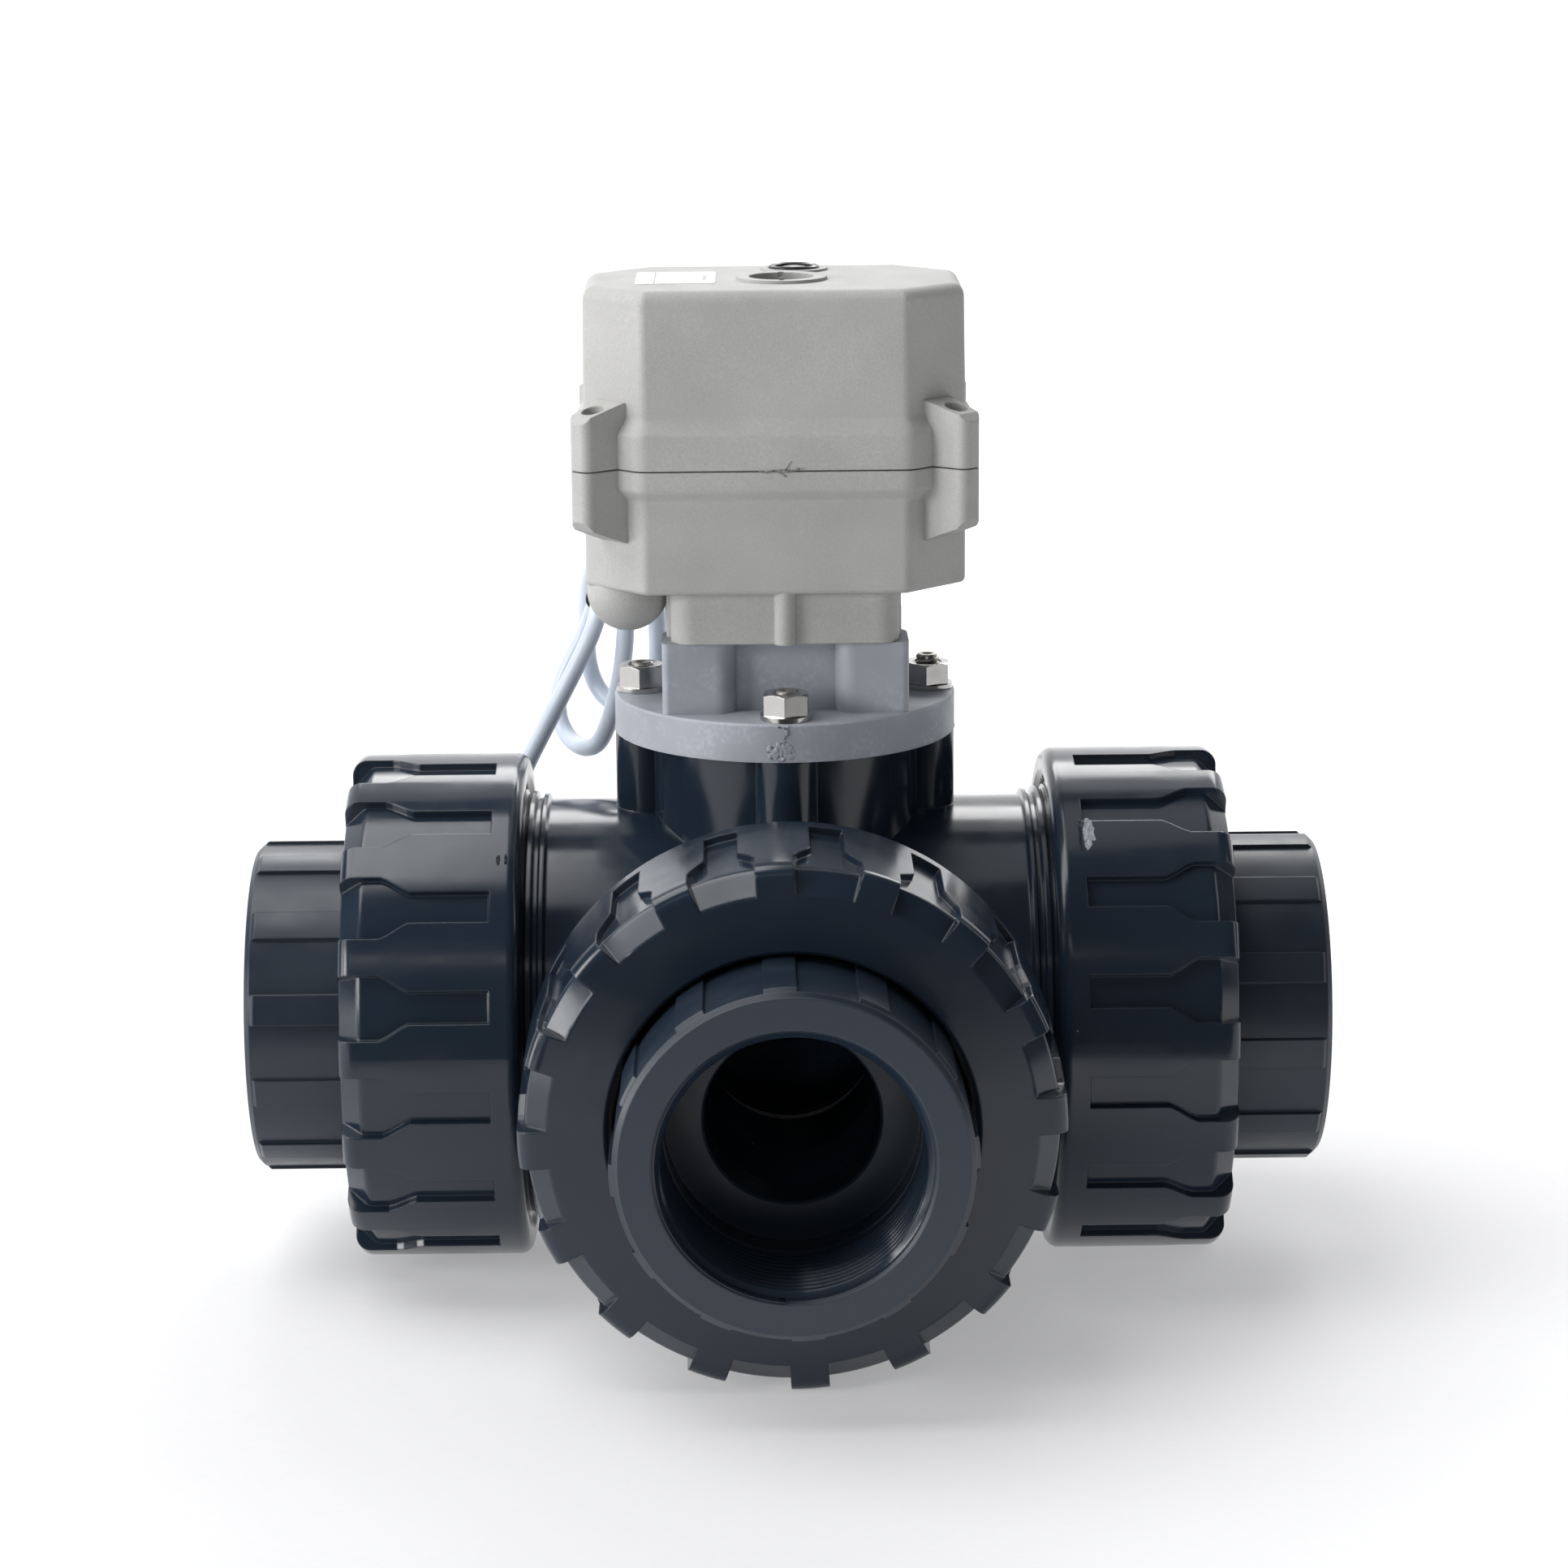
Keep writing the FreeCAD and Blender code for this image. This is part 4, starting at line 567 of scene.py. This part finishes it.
stud_points, stud_faces = [], []
for i, top in enumerate(STUD_TOPS):
    angle = math.radians(90 * i)
    made, made_faces = threaded_stud(STUD_PCD_R * math.cos(angle),
                                     STUD_PCD_R * math.sin(angle), top)
    stud_faces += [tuple(k + len(stud_points) for k in face) for face in made_faces]
    stud_points += made
studs = mesh_piece("threaded_studs", stud_points, stud_faces, stud_steel, "valve")
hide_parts("bonnet_studs")


# ---------------------------------------------------------------- cable ties
TIE_GAP = 0.15               # between a strand and the tie
TIE_THICKNESS = 0.65
TIE_WIDTH = 2.5
TIE_STEPS = 12               # round each strand
# Section of the band: share of the thickness outwards, share of the width.
TIE_SECTION = [(0.0, -0.5), (0.85, -0.5), (1.0, -0.4), (1.0, 0.4), (0.85, 0.5), (0.0, 0.5)]
TIE_HEAD = (1.5, 1.75, 2.0)  # half sizes of the head: out, along the width, along the band
# Rows of the head along the band: share of the half length, share of the other half sizes.
TIE_HEAD_ROWS = [(-1.0, 0.8), (-0.85, 1.0), (0.85, 1.0), (1.0, 0.8)]


def strap(name, strands, head_side):
    """A tie about the Y axis that hugs strands, whose centres are given in order round it,
    with its locking head on the side head_side of the first two."""
    strands = [Vector(strand) for strand in strands]
    gap = CABLE_R + TIE_GAP
    path = []
    for i, strand in enumerate(strands):
        before = strand - strands[i - 1]
        after = strands[(i + 1) % len(strands)] - strand
        start = math.atan2(before.z, before.x) - math.pi / 2
        turn = (math.atan2(after.z, after.x) - math.atan2(before.z, before.x)) % (2 * math.pi)
        for k in range(TIE_STEPS + 1):
            angle = start + turn * k / TIE_STEPS
            path.append((strand, Vector((math.cos(angle), 0, math.sin(angle)))))
    points = [valve(*(middle + out * (gap + TIE_THICKNESS * t) + Vector((0, TIE_WIDTH * w, 0))))
              for middle, out in path for t, w in TIE_SECTION]
    faces = grid_faces(len(path), len(TIE_SECTION), closed_rows=True)
    centre = (strands[0] + strands[1]) / 2 + head_side * (gap + 1.0)
    run = (strands[1] - strands[0]).normalized()
    out_half, width_half, run_half = TIE_HEAD
    first_head = len(points)
    for level, share in TIE_HEAD_ROWS:
        for cx, cy in ((-1, -1), (1, -1), (1, 1), (-1, 1)):
            points.append(valve(*(centre + head_side * out_half * cx * share
                                  + run * run_half * level
                                  + Vector((0, width_half * cy * share, 0)))))
    faces += grid_faces(len(TIE_HEAD_ROWS), 4, first_head)
    faces += end_caps(len(TIE_HEAD_ROWS), 4, first_head)
    return mesh_piece(name, points, faces, black_plastic, "valve", smooth=False)


loops_strap = strap("loops_strap", [(-46.1, 60.3, 87.4), (-42.8, 60.3, 96.0)],
                    Vector((0.93, 0, -0.36)))
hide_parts("loop_tie")
tie_x, tie_y = COIL_CENTRE
coil_strap = strap("coil_strap", [(tie_x + COIL_OUTER, tie_y, COIL_HIGH),
                                  (tie_x + COIL_INNER, tie_y, COIL_HIGH),
                                  (tie_x + COIL_INNER, tie_y, COIL_LOW)], Vector((0, 0, 1)))
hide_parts("coil_tie")


# ---------------------------------------------------------------- marks left by moulding
def fractal_noise(x, y, seed):
    """Noise from about -1 to 1 with some fine detail, the same on every run."""
    return (1.4 * perlin(Vector((x, y, seed * 7.3)))
            + 0.7 * perlin(Vector((x * 2.7, y * 2.7, seed * 3.1)))
            + 0.4 * perlin(Vector((x * 6.1, y * 6.1, seed * 1.7))))


PATCH_STEPS = 48
# Rings of a patch: share of its half size, share of its thickness.
PATCH_RINGS = [(1.0, -0.3), (0.94, 0.3), (0.86, 0.5), (0.74, 0.6), (0.6, 0.6), (0.45, 0.6),
               (0.3, 0.6), (0.15, 0.6), (0.03, 0.6)]
PATCH_JAG, PATCH_JAG_SCALE, PATCH_LUMP_SCALE = 0.22, 1.6, 1.3


def rough_patch(name, centre, normal, along, size, thickness, seed, mat, body, bend=1e9,
                squeeze=1.0):
    """Low ragged mound where a gate was broken off or flash was trimmed. Its size is the half
    length along that direction and the half width across it; bend is the radius of the surface
    across it; squeeze shortens the side that points away from along."""
    normal, along = Vector(normal).normalized(), Vector(along).normalized()
    across = normal.cross(along)
    points = []
    for share, height in PATCH_RINGS:
        for i in range(PATCH_STEPS):
            angle = 2 * math.pi * i / PATCH_STEPS
            c, s = math.cos(angle), math.sin(angle)
            jag = 1 + PATCH_JAG * fractal_noise(c * PATCH_JAG_SCALE, s * PATCH_JAG_SCALE, seed)
            u = size[0] * share * c * jag * (squeeze if c < 0 else 1)
            v = size[1] * share * s * jag
            if height > 0:
                lump = fractal_noise(u * PATCH_LUMP_SCALE, v * PATCH_LUMP_SCALE, seed)
            else:
                lump = 0
            lift = thickness * (height + lump) - v * v / (2 * bend)
            points.append(valve(*(Vector(centre) + along * u + across * v + normal * lift)))
    faces = grid_faces(len(PATCH_RINGS), PATCH_STEPS) + end_caps(len(PATCH_RINGS), PATCH_STEPS)
    return mesh_piece(name, points, faces, mat, body, smooth=False)


FRONT, UP = Vector((0, -1, 0)), Vector((0, 0, 1))
FLANGE_R = 40.2
HOUSING_FRONT_Y = -34.5
NUT_R = 60.2

rough_patch("flange_gate", (-1.2, -FLANGE_R, 70.4), FRONT, UP, (2.5, 3.1), 0.16, 3,
            flange_plastic, "valve", bend=FLANGE_R)
rough_patch("flange_gate_ridge", (-0.1, -FLANGE_R, 75.1), FRONT, (0.35, 0, 1), (1.9, 0.35), 0.4,
            5, flange_plastic, "valve", bend=FLANGE_R)
rough_patch("flange_gate_lip", (-0.9, -FLANGE_R, 76.1), FRONT, (1, 0, -0.25), (1.3, 0.28), 0.35,
            6, flange_plastic, "valve")

# Bits of flash on the housing's joint: x, z, half length, half width, slope.
JOINT_FLASH = [(-1.2, 134.25, 3.6, 0.42, 0.04), (2.4, 134.5, 2.4, 0.3, 0.2),
               (-4.3, 134.0, 1.6, 0.25, -0.1), (0.9, 135.4, 1.3, 0.16, 1.3),
               (-0.6, 133.5, 1.5, 0.2, -0.5)]
for i, (x, z, length, width, slope) in enumerate(JOINT_FLASH):
    rough_patch(f"joint_flash_{i}", (x, HOUSING_FRONT_Y, z), FRONT, (1, 0, slope),
                (length, width), 0.22, 20 + i, housing_plastic, "valve")

# Gate marks on two nuts: port, distance along its axis, degrees up from the front, seed, half
# sizes, material.
NUT_GATES = [("right", 69.0, 54.6, 8, (2.2, 4.4), gate_pale),
             ("left", 66.2, 49.2, 9, (0.8, 1.5), pvc)]
for port, distance, height, seed, size, finish in NUT_GATES:
    a = math.radians(height)
    out = Vector((0, -math.cos(a), math.sin(a)))
    axis = PORTS[port]
    rough_patch(f"{port}_nut_gate", axis * distance + out * NUT_R, out, axis, size, 0.12, seed,
                finish, f"{port}_nut", bend=NUT_R, squeeze=0.35)
    rough_patch(f"{port}_nut_gate_edge", axis * (distance - 1.5) + out * NUT_R, out, axis,
                (0.4, size[1] * 1.2), 0.14, seed + 10, pvc, f"{port}_nut", bend=NUT_R)


FLASH_STEPS = 300


def flange_flash():
    """Thin ragged fin round the lower rim of the bonnet flange."""
    rng = random.Random(4)
    count = FLASH_STEPS
    reach = [0.05 + 0.22 * rng.random() ** 3 for _ in range(count)]
    points = []
    for i in range(count):
        angle = 2 * math.pi * i / count
        smooth = (reach[i - 1] + reach[i] + reach[(i + 1) % count]) / 3
        for beyond, z in ((-0.6, 68.3), (-0.05, 68.25), (smooth, 68.02), (-0.05, 67.92),
                          (-0.6, 67.92)):
            r = FLANGE_R + beyond
            points.append(valve(r * math.cos(angle), r * math.sin(angle), z))
    mesh_piece("flange_flash", points, grid_faces(count, 5, closed_rows=True), flange_plastic,
               "valve")


flange_flash()


# ---------------------------------------------------------------- stage and light
FLOOR_HALF = 4.0
WALL_Y = 2.6
WALL_TOP = 4.0
COVE_R, COVE_STEPS = 1.2, 24


def cyclorama():
    """Floor that runs up in a cove into a wall behind the object, and glows with painted light."""
    profile = [(-FLOOR_HALF, 0.0), (WALL_Y - COVE_R, 0.0)]
    for i in range(1, COVE_STEPS + 1):
        a = math.pi / 2 * i / COVE_STEPS
        profile.append((WALL_Y - COVE_R + COVE_R * math.sin(a), COVE_R - COVE_R * math.cos(a)))
    profile.append((WALL_Y, WALL_TOP))
    data = bpy.data.meshes.new("cyclorama")
    data.from_pydata([(x, y, z) for y, z in profile for x in (-FLOOR_HALF, FLOOR_HALF)], [],
                     [(2 * i, 2 * i + 1, 2 * i + 3, 2 * i + 2) for i in range(len(profile) - 1)])
    for face in data.polygons:
        face.use_smooth = True
    stage = bpy.data.objects.new("cyclorama", data)
    bpy.context.scene.collection.objects.link(stage)
    mat, tree, shader = principled("paper", Roughness=0.9)
    place = node(tree, "TexCoord").outputs["Object"]
    paper = tinted(tree, noise(tree, place, 400), (0.53, 0.53, 0.54), (0.56, 0.56, 0.565))
    tree.links.new(paper, shader.inputs["Base Color"])
    at = node(tree, "SeparateXYZ", {"Vector": place}).outputs
    # Painted light: the paper glows by itself, more towards the wall and on the right side, which
    # keeps it white and lightens the shadows cast on it there.
    painted_glow = maths(tree, "ADD", spread(tree, at["Y"], 0.33, 0.75, 0.1, 1.2),
                 spread(tree, at["X"], 0.0, 0.15, 0.0, 0.3))
    shader.inputs["Emission Color"].default_value = (0.99, 0.99, 1.0, 1)
    tree.links.new(painted_glow, shader.inputs["Emission Strength"])
    data.materials.append(mat)


def flag(name, width, height, place):
    """Upright dark card that only reflections see: a painted dark reflection that stands for the
    darkness beyond the front of the paper.
    """
    w, h = width / 2, height / 2
    data = bpy.data.meshes.new(name)
    data.from_pydata([(-w, 0, -h), (w, 0, -h), (w, 0, h), (-w, 0, h)], [], [(0, 1, 2, 3)])
    card = bpy.data.objects.new(name, data)
    card.location = place
    card.visible_camera = card.visible_shadow = card.visible_diffuse = False
    bpy.context.scene.collection.objects.link(card)
    mat, tree, shader = principled(name, Roughness=0.9)
    place = node(tree, "TexCoord").outputs["Object"]
    # Painted reflection: the card's dark colour shows only in reflections, as painted darkness in
    # front of the object.
    painted_darkness = tinted(tree, noise(tree, place, 300), (0.02, 0.02, 0.022), (0.03, 0.03, 0.032))
    tree.links.new(painted_darkness, shader.inputs["Base Color"])
    data.materials.append(mat)


def softbox(name, place, target, size, power, colour=(1, 1, 1)):
    """Rectangular light of size (width, height) metres at place, facing target."""
    light = bpy.data.lights.new(name, "AREA")
    light.shape = "RECTANGLE"
    light.size, light.size_y = size
    light.energy = power
    light.color = colour
    lamp = bpy.data.objects.new(name, light)
    lamp.location = place
    lamp.rotation_euler = (Vector(target) - Vector(place)).to_track_quat("-Z", "Y").to_euler()
    bpy.context.scene.collection.objects.link(lamp)


WORLD_COLOUR, WORLD_STRENGTH = (0.95, 0.96, 1.0, 1), 0.06

cyclorama()
flag("front_flag", 0.7, 0.3, (0.1, -0.34, 0.15))
softbox("key", (-1.35, -0.75, 0.52), CENTRE, (0.5, 0.65), 11)
softbox("overhead_left", (-0.85, 0.1, 1.6), CENTRE, (1.3, 1.6), 27)
softbox("overhead", (0.05, 0.1, 1.7), CENTRE, (0.5, 1.6), 2)
softbox("back", (0.2, 1.7, 1.3), CENTRE, (1.6, 0.6), 15)
softbox("front", (-0.5, -2.2, 1.25), CENTRE, (1.5, 0.9), 5)
softbox("left", (-1.6, -0.15, 0.25), CENTRE, (0.25, 0.7), 5)
softbox("rim", (1.2, 0.1, 0.6), CENTRE, (0.12, 0.9), 1)

world = bpy.data.worlds.new("studio")
bpy.context.scene.world = world
world.use_nodes = True
world.node_tree.nodes["Background"].inputs["Color"].default_value = WORLD_COLOUR
world.node_tree.nodes["Background"].inputs["Strength"].default_value = WORLD_STRENGTH
bpy.context.scene.view_settings.view_transform = "Standard"
